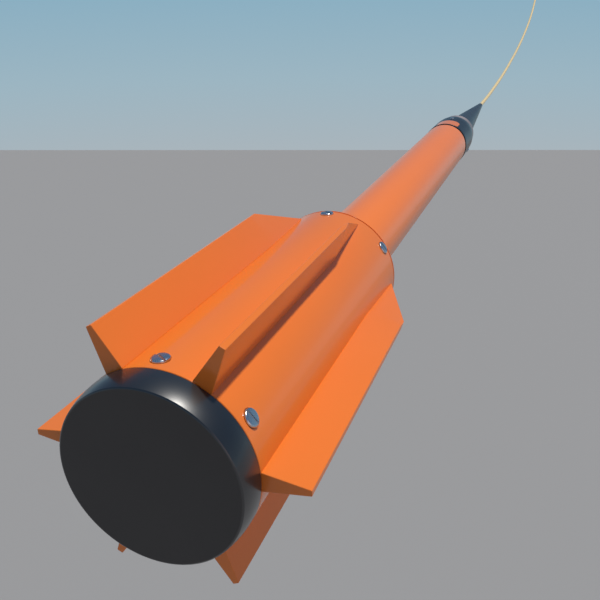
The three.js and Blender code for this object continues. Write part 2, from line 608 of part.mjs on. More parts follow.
function noseCap() {
  const domeStart = NOSE_CAP_END - NOSE_CAP_DOME;
  const innerR = NOSE_BOSS_R + CLEARANCE;
  let body = turned([
    [NOSE_CAP_START, innerR], [NOSE_CAP_START, NOSE_CAP_R - 0.8], [NOSE_CAP_START + 0.8, NOSE_CAP_R],
    ...arcPoints(domeStart, RING_R + 0.4, NOSE_CAP_DOME, NOSE_CAP_R - RING_R - 0.4, 90, 0, 5),
    [NOSE_CAP_END, GLAND_R + CLEARANCE], [BOSS_END + CLEARANCE, GLAND_R + CLEARANCE],
    [BOSS_END + CLEARANCE, innerR], [NOSE_CAP_START, innerR],
  ]);
  body = body.subtract(keyBlock(
    KEY_REAR - CLEARANCE, KEY_LENGTH + 2 * CLEARANCE, KEY_HALF_ANGLE + 1, NOSE_BOSS_R - 3,
    NOSE_CAP_R + 2, 8,
  ));
  for (const angle of NOSE_SCREW_ANGLES) {
    body = body.subtract(radialPin(
      NOSE_SCREW_STATION, angle, NOSE_BOSS_R - 2, NOSE_CAP_R + 5, NOSE_SCREW_R + CLEARANCE,
    ));
    body = body.subtract(radialPin(
      NOSE_SCREW_STATION, angle, NOSE_SEAT_R, NOSE_CAP_R + 5, NOSE_SCREW_HEAD_R + CLEARANCE, SMALL_ROUND,
    ));
  }
  return body;
}

add(hull, 'nose_bulkhead', 'aluminium', noseBulkhead());
add(hull, 'nose_oring', 'rubber', oRing(TUBE_LENGTH - ORING_SETBACK));
add(hull, 'nose_cap', 'black', noseCap());
add(hull, 'nose_key', 'orange', keyBlock(
  KEY_REAR, KEY_LENGTH, KEY_HALF_ANGLE, NOSE_BOSS_R - KEY_BITE, NOSE_CAP_R, 8 - CLEARANCE,
));
NOSE_SCREW_ANGLES.forEach((angle, i) => {
  const screw = slottedScrew(
    NOSE_SEAT_R, NOSE_SCREW_R, NOSE_SCREW_HEAD_R, NOSE_SCREW_HEAD_HEIGHT, NOSE_SCREW_LENGTH,
    SCREW_SLOT_WIDTH, SCREW_SLOT_DEPTH,
  );
  const mesh = add(hull, `nose_screw_${i + 1}`, 'steel', screw);
  mesh.position.x = NOSE_SCREW_STATION;
  mesh.rotation.x = -THREE.MathUtils.degToRad(angle);
});
add(hull, 'nose_ring', 'aluminium', turned([
  [RING_START, GLAND_R + CLEARANCE], [RING_START, RING_R - 0.6], [RING_START + 0.6, RING_R],
  [RING_END - 0.6, RING_R], [RING_END, RING_R - 0.6], [RING_END, GLAND_R + CLEARANCE],
  [RING_START, GLAND_R + CLEARANCE],
]));

// ---- Gland, cable tail, clamp and bend restrictor ---------------------------------------------
const GLAND_END = RING_END + GLAND_NUT_LENGTH + 2 * CLEARANCE;

add(hull, 'gland_body', 'steel', hollow(
  BOSS_END - GLAND_REACH, GLAND_END + 3, CABLE_BORE_R, GLAND_R, INNER_ROUND,
));
add(hull, 'gland_nut', 'steel', disc(
  RING_END + CLEARANCE, RING_END + CLEARANCE + GLAND_NUT_LENGTH, GLAND_NUT_R, 6,
).subtract(disc(RING_START, CONE_END, GLAND_R + CLEARANCE)));
add(hull, 'bend_restrictor', 'boot', turned([
  [CONE_START, GLAND_NUT_R + 1], [CONE_START, CONE_BASE_R - 0.8], [CONE_START + 0.8, CONE_BASE_R],
  [CONE_END - 1, CONE_TIP_R], [CONE_END, CONE_TIP_R - 0.4], [CONE_END, CABLE_BORE_R],
  [CONE_START + CONE_POCKET_LENGTH, CABLE_BORE_R],
  [CONE_START + CONE_POCKET_LENGTH, GLAND_NUT_R + 1], [CONE_START, GLAND_NUT_R + 1],
]));
add(hull, 'cable_tail', 'cable', rodAlong(
  TUBE_LENGTH - NOSE_SPIGOT_LENGTH - CABLE_TAIL, CONE_END - CLEARANCE, CABLE_R, 0, 0,
));
add(hull, 'strength_clamp', 'brass', hollow(
  ROD_END - CLAMP_LENGTH, ROD_END, CABLE_BORE_R, CLAMP_R, SMALL_ROUND,
));

// ---- Tow cable and its deck end ---------------------------------------------------------------
// The cable stops inside the socket, so the boot and socket lie on its last straight.
const routePoints = CABLE_ROUTE.map(([x, z]) => new THREE.Vector3(x, 0, z));
const routeEnd = routePoints[routePoints.length - 1];
const endDirection = routeEnd.clone().sub(routePoints[routePoints.length - 2]).normalize();

function towCable() {
  const section = new THREE.Shape();
  for (let i = 0; i < CABLE_SIDES; i += 1) {
    const angle = 2 * Math.PI * i / CABLE_SIDES;
    const place = [CABLE_R * Math.cos(angle), CABLE_R * Math.sin(angle)];
    if (i === 0) {
      section.moveTo(...place);
    } else {
      section.lineTo(...place);
    }
  }
  const path = new THREE.CatmullRomCurve3(routePoints, false, 'centripetal');
  return solid(new THREE.ExtrudeGeometry(section, { steps: CABLE_STEPS, extrudePath: path }));
}

add(part, 'tow_cable', 'cable', towCable());

const deckEnd = new THREE.Group();   // local +X runs on along the cable
deckEnd.position.copy(routeEnd);
deckEnd.rotation.y = -Math.atan2(endDirection.z, endDirection.x);
part.add(deckEnd);

const SOCKET_START = -14;
const SOCKET_END = SOCKET_START + SOCKET_LENGTH;
const PIVOT_X = SOCKET_END - PIVOT_SETBACK;
const PIVOT_TIP = SOCKET_R - PIVOT_DEPTH;

function socketBody() {
  let body = turned([
    [SOCKET_START, CABLE_BORE_R], [SOCKET_START, SOCKET_R - 1.5], [SOCKET_START + 1.5, SOCKET_R],
    [SOCKET_END - 1.5, SOCKET_R], [SOCKET_END, SOCKET_R - 1.5], [SOCKET_END, 0],
    [CLEARANCE, 0], [CLEARANCE, CABLE_BORE_R], [SOCKET_START, CABLE_BORE_R],
  ], INNER_ROUND);
  for (const side of [-1, 1]) {
    const floorR = PIVOT_TIP - CLEARANCE;
    const hole = radialPin(PIVOT_X, 90 * side, floorR, SOCKET_R + 5, PIVOT_R + CLEARANCE, SMALL_ROUND);
    body = body.subtract(hole);
  }
  return body;
}

// The bail is a round bar bent to a U, with a flat boss at the foot of each arm.
function bailBody() {
  const bend = BAIL_HALF_WIDTH;
  const straight = BAIL_REACH - bend;
  const centre = new THREE.Vector3(PIVOT_X + straight, 0, 0);
  const bow = [];
  for (let i = 0; i <= 8; i += 1) {
    const angle = -Math.PI / 2 + Math.PI * i / 8;
    bow.push(centre.clone().add(new THREE.Vector3(bend * Math.cos(angle), bend * Math.sin(angle), 0)));
  }
  const whole = new THREE.CatmullRomCurve3([
    new THREE.Vector3(PIVOT_X, -bend, 0), new THREE.Vector3(PIVOT_X + straight / 2, -bend, 0),
    ...bow,
    new THREE.Vector3(PIVOT_X + straight / 2, bend, 0), new THREE.Vector3(PIVOT_X, bend, 0),
  ]);
  const section = new THREE.Shape().absarc(0, 0, BAIL_BAR_R, 0, 2 * Math.PI);
  let body = solid(new THREE.ExtrudeGeometry(section, {
    steps: 30, extrudePath: whole, curveSegments: 4,
  }));
  for (const side of [-1, 1]) {
    const low = bend - BAIL_BAR_R;
    const high = bend + BAIL_BAR_R;
    body = body.add(radialPin(PIVOT_X, 90 * side, low, high, BAIL_BOSS_R, SMALL_ROUND));
  }
  for (const side of [-1, 1]) {
    const outside = BAIL_HALF_WIDTH + 9;
    const hole = radialPin(PIVOT_X, 90 * side, SOCKET_R, outside, PIVOT_R + CLEARANCE, SMALL_ROUND);
    body = body.subtract(hole);
  }
  return body;
}

// A pivot screw passes through the foot of an arm into the socket.
function pivotScrew(side) {
  const flangeR = BAIL_HALF_WIDTH + BAIL_BAR_R + CLEARANCE;
  const shank = radialPin(PIVOT_X, 90 * side, PIVOT_TIP, flangeR + 1, PIVOT_R, SMALL_ROUND);
  const head = radialPin(PIVOT_X, 90 * side, flangeR, flangeR + 2.4, PIVOT_R + 2.5, SMALL_ROUND);
  const slotHalf = SCREW_SLOT_WIDTH / 2;
  const slotLow = side > 0 ? flangeR + 1.2 : -flangeR - 6;
  const slot = box(
    PIVOT_X - 10, PIVOT_X + 10, slotLow, slotLow + 4.8, -slotHalf, slotHalf,
  );
  return shank.add(head).subtract(slot);
}

// The connector is a stepped shell with contact pins standing in its open front.
function connectorBody() {
  const start = SOCKET_END + CLEARANCE;
  const end = start + PLUG_LENGTH;
  const floor = end - 14;
  let body = turned([
    [start, 0], [start, PLUG_R], [end, PLUG_R], [end, PLUG_R - 2], [floor, PLUG_R - 2], [floor, 0],
  ], INNER_ROUND);
  for (let i = 0; i < CONTACT_COUNT; i += 1) {
    const angle = 2 * Math.PI * i / CONTACT_COUNT;
    const y = CONTACT_CIRCLE_R * Math.cos(angle);
    const z = CONTACT_CIRCLE_R * Math.sin(angle);
    body = body.add(rodAlong(floor - 1, end - 4, CONTACT_R, y, z, 8));
  }
  return body;
}

function couplingRing() {
  const start = SOCKET_END + COUPLING_SETOFF;
  const end = start + COUPLING_LENGTH;
  let body = hollow(start, end, PLUG_R + CLEARANCE, COUPLING_R, 2 * COUPLING_RIBS);
  for (let i = 0; i < COUPLING_RIBS; i += 1) {
    const angle = 2 * Math.PI * i / COUPLING_RIBS;
    const y = (COUPLING_R + 0.4) * Math.cos(angle);
    const z = (COUPLING_R + 0.4) * Math.sin(angle);
    body = body.subtract(rodAlong(start + 3, end + 5, 1, y, z, 6));
  }
  return body;
}

add(deckEnd, 'deck_boot', 'rubber', turned([
  [SOCKET_START - CLEARANCE - BOOT_LENGTH, CABLE_BORE_R],
  [SOCKET_START - CLEARANCE - BOOT_LENGTH, BOOT_SMALL_R],
  [SOCKET_START - CLEARANCE - 8, BOOT_LARGE_R - 0.8], [SOCKET_START - CLEARANCE, BOOT_LARGE_R],
  [SOCKET_START - CLEARANCE, CABLE_BORE_R], [SOCKET_START - CLEARANCE - BOOT_LENGTH, CABLE_BORE_R],
], INNER_ROUND));
add(deckEnd, 'deck_socket', 'steel', socketBody());
add(deckEnd, 'deck_bail', 'steel', bailBody());
add(deckEnd, 'left_bail_pivot', 'steel', pivotScrew(1));
add(deckEnd, 'right_bail_pivot', 'steel', pivotScrew(-1));
add(deckEnd, 'deck_connector', 'brass', connectorBody());
add(deckEnd, 'coupling_ring', 'aluminium', couplingRing());

export default part;
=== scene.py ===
# A towed sensor fish on its tow cable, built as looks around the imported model. Metres, +X forward
# along the body and +Z up, with the origin where the cable leaves the bend restrictor.
import math

import bmesh
import bpy
from mathutils import Matrix, Vector


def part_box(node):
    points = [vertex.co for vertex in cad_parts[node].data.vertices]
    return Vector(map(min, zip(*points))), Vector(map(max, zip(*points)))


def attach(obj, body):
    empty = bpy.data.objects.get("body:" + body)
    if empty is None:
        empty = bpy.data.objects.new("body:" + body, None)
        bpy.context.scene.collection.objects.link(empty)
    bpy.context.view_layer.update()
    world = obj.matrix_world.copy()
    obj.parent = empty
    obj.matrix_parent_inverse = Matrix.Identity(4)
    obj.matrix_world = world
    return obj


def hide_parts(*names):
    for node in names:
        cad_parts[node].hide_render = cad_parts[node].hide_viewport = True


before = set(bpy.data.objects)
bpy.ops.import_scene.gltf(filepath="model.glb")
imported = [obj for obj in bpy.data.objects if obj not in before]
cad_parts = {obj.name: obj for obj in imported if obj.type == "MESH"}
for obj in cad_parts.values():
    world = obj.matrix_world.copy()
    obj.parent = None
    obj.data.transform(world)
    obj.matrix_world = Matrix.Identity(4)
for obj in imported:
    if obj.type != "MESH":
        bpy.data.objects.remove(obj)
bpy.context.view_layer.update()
MM = 0.001

# ---- Camera ----------------------------------------------------------------------------------
# It looks forward along the body from above its right side, close behind the fins, so that the
# tail is large and the cable runs away to the top right.
REAR_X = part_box("fin_sleeve")[0][0]
camera_data = bpy.data.cameras.new("camera")
camera_data.sensor_width = 36
camera_data.lens = 42.26
camera_data.clip_start = 0.02
camera_data.clip_end = 200
camera = bpy.data.objects.new("camera", camera_data)
camera_right = Vector((0.34111, -0.93998, -0.0087))
camera_up = Vector((0.37414, 0.12727, 0.9186))
camera_back = camera_right.cross(camera_up)
camera_place = Vector((REAR_X - 0.29664, -0.19478, 0.25136))
camera_turn = Matrix((camera_right, camera_up, camera_back)).transposed()
camera.matrix_world = Matrix.Translation(camera_place) @ camera_turn.to_4x4()
bpy.context.scene.collection.objects.link(camera)
bpy.context.scene.camera = camera

# ---- Tow cable -------------------------------------------------------------------------------
# An 8 mm electrical tow cable: conductors and an aramid strength member inside an extruded pale
# yellow polyurethane jacket. It hangs in a shallow curve from the deck end down to the nose.
CABLE_R = 4 * MM
CABLE_ROUTE = [   # (forward, rise) in mm
    (0, 0), (40, 0), (90, 0.4), (160, 1.5), (230, 3.2), (305, 5.6), (440, 10.8), (586, 17.8),
    (735, 27.2), (888, 39), (1075, 54), (1265, 74), (1440, 95.5), (1605, 119.5), (1745, 144.5),
    (1868, 172), (1945, 195), (2010, 219), (2070, 244.5), (2170, 288.5), (2210, 306.1),
]


def add_object(name, data):
    piece = bpy.data.objects.new(name, data)
    bpy.context.scene.collection.objects.link(piece)
    return piece


cable_curve = bpy.data.curves.new("tow_cable", "CURVE")
cable_curve.dimensions = "3D"
cable_curve.bevel_depth = CABLE_R
cable_curve.bevel_resolution = 6
cable_curve.resolution_u = 10
cable_curve.use_fill_caps = True
cable_line = cable_curve.splines.new("BEZIER")
cable_line.bezier_points.add(len(CABLE_ROUTE) - 1)
for point, (forward, rise) in zip(cable_line.bezier_points, CABLE_ROUTE):
    point.co = (forward * MM, 0, rise * MM)
    point.handle_left_type = point.handle_right_type = "AUTO"
cable = add_object("cable_jacket", cable_curve)


def link(tree, output, socket):
    tree.links.new(output, socket)


def value_node(tree, kind, **settings):
    node = tree.nodes.new(kind)
    for key, value in settings.items():
        setattr(node, key, value)
    return node


def new_group(name, inputs, outputs):
    """A shader node group with float inputs by default value, or colour inputs by tuple."""
    group = bpy.data.node_groups.new(name, "ShaderNodeTree")
    for key, value in inputs.items():
        kind = "NodeSocketColor" if isinstance(value, tuple) else "NodeSocketFloat"
        group.interface.new_socket(key, in_out="INPUT", socket_type=kind).default_value = value
    for key, kind in outputs.items():
        group.interface.new_socket(key, in_out="OUTPUT", socket_type=kind)
    return group, group.nodes.new("NodeGroupInput"), group.nodes.new("NodeGroupOutput")


def math_node(tree, operation, first, second):
    node = value_node(tree, "ShaderNodeMath", operation=operation)
    for socket, value in zip(node.inputs, (first, second)):
        if isinstance(value, (int, float)):
            socket.default_value = value
        else:
            link(tree, value, socket)
    return node.outputs[0]


def noise(tree, place, scale, detail):
    node = value_node(tree, "ShaderNodeTexNoise", noise_dimensions="3D")
    node.inputs["Detail"].default_value = detail
    link(tree, place, node.inputs["Vector"])
    link(tree, scale, node.inputs["Scale"])
    return node.outputs["Fac"]


def uneven_gloss(tree, given, pattern):
    """The group's roughness, made a little higher and lower by a noise pattern."""
    uneven = math_node(tree, "SUBTRACT", pattern, 0.5)
    spread = math_node(tree, "MULTIPLY", uneven, given.outputs["Spread"])
    return math_node(tree, "ADD", given.outputs["Roughness"], spread)


def grain_and_gloss(tree, surface, shader, depth, strength):
    """Leads a surface group's gloss and raised grain to the shader."""
    bump = value_node(tree, "ShaderNodeBump")
    bump.inputs["Distance"].default_value = depth
    bump.inputs["Strength"].default_value = strength
    link(tree, surface.outputs["Height"], bump.inputs["Height"])
    link(tree, surface.outputs["Roughness"], shader.inputs["Roughness"])
    link(tree, bump.outputs["Normal"], shader.inputs["Normal"])


def moulded_group():
    """Uneven colour, uneven gloss and a fine grain, for paint, plastic and rubber."""
    tree, given, result = new_group("moulded_surface", {
        "Color": (0.5, 0.5, 0.5, 1), "Shade": (0.3, 0.3, 0.3, 1), "Mottle Scale": 14.0,
        "Mottle": 0.4, "Grain Scale": 900.0, "Roughness": 0.4, "Spread": 0.1,
    }, {"Color": "NodeSocketColor", "Roughness": "NodeSocketFloat", "Height": "NodeSocketFloat"})
    place = tree.nodes.new("ShaderNodeTexCoord").outputs["Object"]
    broad = noise(tree, place, given.outputs["Mottle Scale"], 5)
    fine = noise(tree, place, given.outputs["Grain Scale"], 3)
    tint = value_node(tree, "ShaderNodeMix", data_type="RGBA")
    factor, first_color, second_color = (tint.inputs[i] for i in (0, 6, 7))
    mixed_color = tint.outputs[2]
    link(tree, math_node(tree, "MULTIPLY", broad, given.outputs["Mottle"]), factor)
    link(tree, given.outputs["Color"], first_color)
    link(tree, given.outputs["Shade"], second_color)
    link(tree, mixed_color, result.inputs["Color"])
    link(tree, uneven_gloss(tree, given, broad), result.inputs["Roughness"])
    link(tree, fine, result.inputs["Height"])
    return tree


MOULDED = moulded_group()


def moulded_material(name, color, shade, grain_depth, group_values, **shader_values):
    """A Principled material whose colour, gloss and grain come from the moulded surface."""
    material = bpy.data.materials.new(name)
    material.use_nodes = True
    tree = material.node_tree
    shader = tree.nodes["Principled BSDF"]
    for key, value in shader_values.items():
        shader.inputs[key.replace("_", " ")].default_value = value
    surface = value_node(tree, "ShaderNodeGroup", node_tree=MOULDED)
    surface.inputs["Color"].default_value = (*color, 1)
    surface.inputs["Shade"].default_value = (*shade, 1)
    for key, value in group_values.items():
        surface.inputs[key].default_value = value
    link(tree, surface.outputs["Color"], shader.inputs["Base Color"])
    grain_and_gloss(tree, surface, shader, grain_depth, 0.5)
    return material


cable_yellow = moulded_material(
    "cable_jacket", (0.86, 0.66, 0.33), (0.74, 0.54, 0.25), 0.04 * MM,
    {"Mottle Scale": 30.0, "Mottle": 0.7, "Grain Scale": 2200.0, "Roughness": 0.42, "Spread": 0.2},
)
cable.data.materials.append(cable_yellow)
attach(cable, "fish")
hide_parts("tow_cable")

# ---- Fin sleeve ------------------------------------------------------------------------------
# A moulded glass-fibre sleeve round the tail of the body tube, sprayed orange. It is drilled and
# spot-faced for two rings of four M6 screws. A fine groove behind its front rim leaves a lip.
SLEEVE_R = 62 * MM
SLEEVE_WALL = 5 * MM
SLEEVE_LENGTH = 331 * MM
SLEEVE_LANDS = [2.5, 20, 60, 120, 180, 240, 290, 311, 327]   # mm from the rear rim, along the plain wall
SCREW_STATIONS = {"rear": 11 * MM, "front": 320 * MM}
SCREW_ANGLES = [3.2, -56.8, -176.8, 123.2]
RIM_LIP = 1.2 * MM
RIM_GROOVE_WIDTH = 2 * MM
RIM_GROOVE_DEPTH = 1.5 * MM
SEAT_DEPTH = 0.7 * MM
CLEARANCE = 0.3 * MM
SEAT_R = 6.3 * MM
SEAT_CUTTER_REACH = 6 * MM
SCREW_HOLE_R = 3.3 * MM
SCREW_HOLE_DEPTH = 8 * MM


def eased(corners, default=0.0, steps=4):
    """Rounds the corners (x, r) or (x, r, size) of a closed outline."""
    points = []
    count = len(corners)
    for i, corner in enumerate(corners):
        here = Vector(corner[:2])
        size = corner[2] if len(corner) > 2 else default
        before = Vector(corners[i - 1][:2]) - here
        after = Vector(corners[(i + 1) % count][:2]) - here
        if size <= 0 or here.y == 0:
            points.append(here)
            continue
        start = here + before.normalized() * min(size, before.length * 0.49)
        end = here + after.normalized() * min(size, after.length * 0.49)
        for k in range(steps + 1):
            t = k / steps
            points.append(start * (1 - t) ** 2 + here * (2 * t * (1 - t)) + end * t ** 2)
    return points


def finish_mesh(name, bm, angle=35):
    """Closes a bmesh into a named object with smooth faces and crisp edges above the angle."""
    bmesh.ops.remove_doubles(bm, verts=bm.verts, dist=1e-7)
    bmesh.ops.recalc_face_normals(bm, faces=bm.faces)
    data = bpy.data.meshes.new(name)
    bm.to_mesh(data)
    bm.free()
    data.polygons.foreach_set("use_smooth", [True] * len(data.polygons))
    data.set_sharp_from_angle(angle=math.radians(angle))
    return add_object(name, data)


def turned(name, outline, sides=128, angle=35):
    """A solid of revolution about X. An outline that starts and ends on the axis is open."""
    bm = bmesh.new()
    open_outline = outline[0][1] == 0 and outline[-1][1] == 0
    rings = []
    for x, r in outline:
        if r == 0:
            rings.append([bm.verts.new((x, 0, 0))] * sides)
            continue
        turns = [2 * math.pi * k / sides for k in range(sides)]
        rings.append([bm.verts.new((x, r * math.sin(a), r * math.cos(a))) for a in turns])
    pairs = list(zip(rings, rings[1:])) + ([] if open_outline else [(rings[-1], rings[0])])
    for one, two in pairs:
        for k in range(sides):
            n = (k + 1) % sides
            corners = list(dict.fromkeys((one[k], one[n], two[n], two[k])))
            if len(corners) > 2:
                bm.faces.new(corners)
    return finish_mesh(name, bm, angle)


def outward(x, angle):
    """Takes a shape on +Z to a place on the body: +Z there points out, +X stays forward."""
    return Matrix.Translation((x, 0, 0)) @ Matrix.Rotation(-math.radians(angle), 4, "X")


def joined_pins(pins, sides=32):
    """One cutter of many radial pins: (x, angle, from r, to r, pin radius)."""
    bm = bmesh.new()
    for x, angle, low, high, radius in pins:
        at = outward(x, angle) @ Matrix.Translation((0, 0, (low + high) / 2))
        bmesh.ops.create_cone(
            bm, cap_ends=True, segments=sides, radius1=radius, radius2=radius, depth=high - low, matrix=at,
        )
    return finish_mesh("cutter", bm)


def reshape(piece, other, operation="DIFFERENCE", angle=35):
    """Cuts one piece with another, which is used up."""
    change = piece.modifiers.new("cut", "BOOLEAN")
    change.object = other
    change.operation = operation
    change.solver = "EXACT"
    bpy.context.view_layer.update()
    graph = bpy.context.evaluated_depsgraph_get()
    shaped = bpy.data.meshes.new_from_object(piece.evaluated_get(graph))
    piece.modifiers.clear()
    piece.data = shaped
    shaped.polygons.foreach_set("use_smooth", [True] * len(shaped.polygons))
    shaped.set_sharp_from_angle(angle=math.radians(angle))
    bpy.data.objects.remove(other)


def settle(piece, body, material, slot, *nodes):
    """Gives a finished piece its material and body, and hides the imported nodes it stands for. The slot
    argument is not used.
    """
    if not piece.data.materials:
        piece.data.materials.append(material)
    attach(piece, body)
    if nodes:
        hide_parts(*nodes)


def sleeve_outline():
    inner = SLEEVE_R - SLEEVE_WALL
    start, end = REAR_X, REAR_X + SLEEVE_LENGTH
    lip, floor_r = end - RIM_LIP, SLEEVE_R - RIM_GROOVE_DEPTH
    groove_lip_ease, groove_floor_ease, bore_ease = 0.15 * MM, 0.2 * MM, 0.5 * MM
    rear_rim_ease, front_rim_ease = 0.8 * MM, 0.4 * MM
    outer = [(start, SLEEVE_R, rear_rim_ease)] + [(start + d * MM, SLEEVE_R) for d in SLEEVE_LANDS]
    groove = [
        (lip - RIM_GROOVE_WIDTH, SLEEVE_R, groove_lip_ease),
        (lip - RIM_GROOVE_WIDTH, floor_r, groove_floor_ease),
        (lip, floor_r, groove_floor_ease), (lip, SLEEVE_R, groove_lip_ease),
    ]
    bore = [(end, inner, bore_ease), (start, inner, bore_ease)]
    return eased(outer + groove + [(end, SLEEVE_R, front_rim_ease)] + bore)


sleeve = turned("fin_sleeve_shell", sleeve_outline(), 192)
screw_places = [(REAR_X + station, angle) for station in SCREW_STATIONS.values() for angle in SCREW_ANGLES]
spot_faces = [
    (x, angle, SLEEVE_R - SEAT_DEPTH, SLEEVE_R + SEAT_CUTTER_REACH, SEAT_R) for x, angle in screw_places
]
screw_holes = [
    (x, angle, SLEEVE_R - SCREW_HOLE_DEPTH, SLEEVE_R, SCREW_HOLE_R) for x, angle in screw_places
]
reshape(sleeve, joined_pins(spot_faces, 48))
reshape(sleeve, joined_pins(screw_holes, 24))

shell_orange = moulded_material(
    "orange_shell", (0.84, 0.202, 0.025), (0.79, 0.176, 0.018), 0.04 * MM,
    {"Mottle Scale": 9.0, "Mottle": 0.6, "Grain Scale": 700.0, "Roughness": 0.15, "Spread": 0.06},
    Specular_IOR_Level=0.6,
)
settle(sleeve, "fish", shell_orange, "orange_shell", "fin_sleeve")

# ---- Fins ------------------------------------------------------------------------------------
# Six solid moulded fins, thick at the root and thin at the tip, with a swept knife edge in front.
# Each stands on a tenon that is bonded into a slot in the sleeve, and is sprayed with it.
FIN_TIP_R = 92 * MM
FIN_ROOT_HALF = 6.6 * MM
FIN_TIP_HALF = 2.1 * MM
FIN_FULL = 224 * MM            # from the rear end to where the sides start to taper
FIN_FRONT_TIP = 237 * MM
FIN_FRONT_ROOT = 319 * MM
FIN_EDGE = 0.55 * MM
FIN_ANGLES = [27.1, -27.1, -90, 207.1, 152.9, 90]
FIN_HEIGHTS = [-0.6, 0.4, 6, 12, 18, 24, 30]   # mm above the sleeve, the first sunk in its wall


def fin_blade(name, angle):
    """A blade that thins to its tip and narrows forward to a knife edge, made row by row."""
    bm = bmesh.new()
    grid = []
    for height in FIN_HEIGHTS:
        r = SLEEVE_R + height * MM
        share = max((r - SLEEVE_R) / (FIN_TIP_R - SLEEVE_R), 0)
        half = FIN_ROOT_HALF + (FIN_TIP_HALF - FIN_ROOT_HALF) * share
        front = FIN_FRONT_ROOT + (FIN_FRONT_TIP - FIN_FRONT_ROOT) * share
        line = [(0, -half), (FIN_FULL / 2, -half), (FIN_FULL, -half)]
        line += [(FIN_FULL + (front - FIN_FULL) * t, -half * (1 - t)) for t in (0.25, 0.5, 0.75)]
        line += [(front, 0)]
        line += [(x, -y) for x, y in reversed(line[:-1])]
        grid.append([bm.verts.new((REAR_X + x, y, r)) for x, y in line])
    across = len(grid[0])
    for low, high in zip(grid, grid[1:]):
        for k in range(across - 1):
            bm.faces.new((low[k], low[k + 1], high[k + 1], high[k]))
    bm.faces.new([line[0] for line in grid] + [line[-1] for line in reversed(grid)])
    bm.faces.new(grid[0])
    bm.faces.new(grid[-1])
    bm.transform(Matrix.Rotation(-math.radians(angle), 4, "X"))
    return finish_mesh(name, bm, 30)


def soften(piece, width, segments=2, angle=40):
    """Breaks the edges of a piece with a small bevel, and keeps its flats flat."""
    bevel = piece.modifiers.new("edges", "BEVEL")
    bevel.width = width
    bevel.segments = segments
    bevel.limit_method = "ANGLE"
    bevel.angle_limit = math.radians(angle)
    bevel.harden_normals = True


for number, angle in enumerate(FIN_ANGLES, 1):
    blade = fin_blade(f"fin_{number}_blade", angle)
    soften(blade, FIN_EDGE, 2, 35)
    settle(blade, "fish", shell_orange, "orange_shell", f"fin_{number}")

# ---- Sleeve screws ---------------------------------------------------------------------------
# M6 slotted pan heads in stainless steel, turned and left bright. Each clamps the sleeve on a
# spot face to the ring inside it, and each came tight with its slot at its own angle.
SCREW_HEAD_R = 6 * MM
SCREW_HEAD_HEIGHT = 2.1 * MM
SLOT_WIDTH = 1.6 * MM
SLOT_DEPTH = 1.1 * MM
SLOT_TURNS = [55, 102, 5, 110]
SCREW_SHANK_R = 3 * MM
SCREW_LENGTH = 16 * MM
HEAD_EDGE = 0.12 * MM


def turned_group():
    """Fine tool marks and uneven gloss, for metal."""
    tree, given, result = new_group(
        "tool_marks", {"Grain Scale": 1500.0, "Roughness": 0.25, "Spread": 0.2},
        {"Roughness": "NodeSocketFloat", "Height": "NodeSocketFloat"},
    )
    place = tree.nodes.new("ShaderNodeTexCoord").outputs["Object"]
    fine = noise(tree, place, given.outputs["Grain Scale"], 4)
    link(tree, uneven_gloss(tree, given, fine), result.inputs["Roughness"])
    link(tree, fine, result.inputs["Height"])
    return tree


TOOL_MARKS = turned_group()


def metal_material(name, color, roughness, grain=1500.0, depth=0.012 * MM):
    """A Principled metal whose gloss and grain come from the tool marks."""
    material = bpy.data.materials.new(name)
    material.use_nodes = True
    tree = material.node_tree
    shader = tree.nodes["Principled BSDF"]
    shader.inputs["Base Color"].default_value = (*color, 1)
    shader.inputs["Metallic"].default_value = 1
    surface = value_node(tree, "ShaderNodeGroup", node_tree=TOOL_MARKS)
    surface.inputs["Grain Scale"].default_value = grain
    surface.inputs["Roughness"].default_value = roughness
    grain_and_gloss(tree, surface, shader, depth, 0.4)
    return material


screw_steel = metal_material("screw_steel", (0.56, 0.60, 0.65), 0.24)


def slotted_screw(name, place, seat_r, head_r, head_height, shank_r, length, slot_turn):
    """A pan head with a slot, built on +Z and carried to its place."""
    low = seat_r + CLEARANCE
    top = low + head_height
    tip_chamfer, head_chamfer, crown, crown_shoulder = 0.5 * MM, 0.15 * MM, 0.08 * MM, 0.06 * MM
    outline = [
        (low - length, 0), (low - length, shank_r - tip_chamfer), (low - length + tip_chamfer, shank_r),
        (low, shank_r), (low, head_r - head_chamfer), (low + head_chamfer, head_r),
    ]
    round_steps = 8
    flat_share, side_share = 0.72, 0.5
    for k in range(round_steps + 1):
        t = math.radians(90 * k / round_steps)
        outline.append((
            low + head_height * (side_share + (1 - side_share) * math.sin(t)),
            head_r * (flat_share + (1 - flat_share) * math.cos(t)),
        ))
    outline += [(top + crown_shoulder, 0.4 * head_r), (top + crown, 0)]
    screw = turned(name, outline, 48)
    screw.data.transform(Matrix.Rotation(-math.pi / 2, 4, "Y"))
    slot = bmesh.new()
    saw_height = 6 * MM
    saw_size = Matrix.Diagonal((4 * head_r, SLOT_WIDTH, saw_height, 1))
    at = Matrix.Translation((0, 0, top - SLOT_DEPTH + saw_height / 2))
    bmesh.ops.create_cube(slot, size=1, matrix=at @ saw_size)
    reshape(screw, finish_mesh("cutter", slot))
    screw.data.transform(place @ Matrix.Rotation(math.radians(slot_turn), 4, "Z"))
    return screw


for ring, station in SCREW_STATIONS.items():
    for number, angle in enumerate(SCREW_ANGLES, 1):
        screw = slotted_screw(
            f"{ring}_screw_{number}_head", outward(REAR_X + station, angle), SLEEVE_R - SEAT_DEPTH,
            SCREW_HEAD_R, SCREW_HEAD_HEIGHT, SCREW_SHANK_R, SCREW_LENGTH, SLOT_TURNS[number - 1],
        )
        soften(screw, HEAD_EDGE)
        settle(screw, "fish", screw_steel, "steel", f"{ring}_screw_{number}")

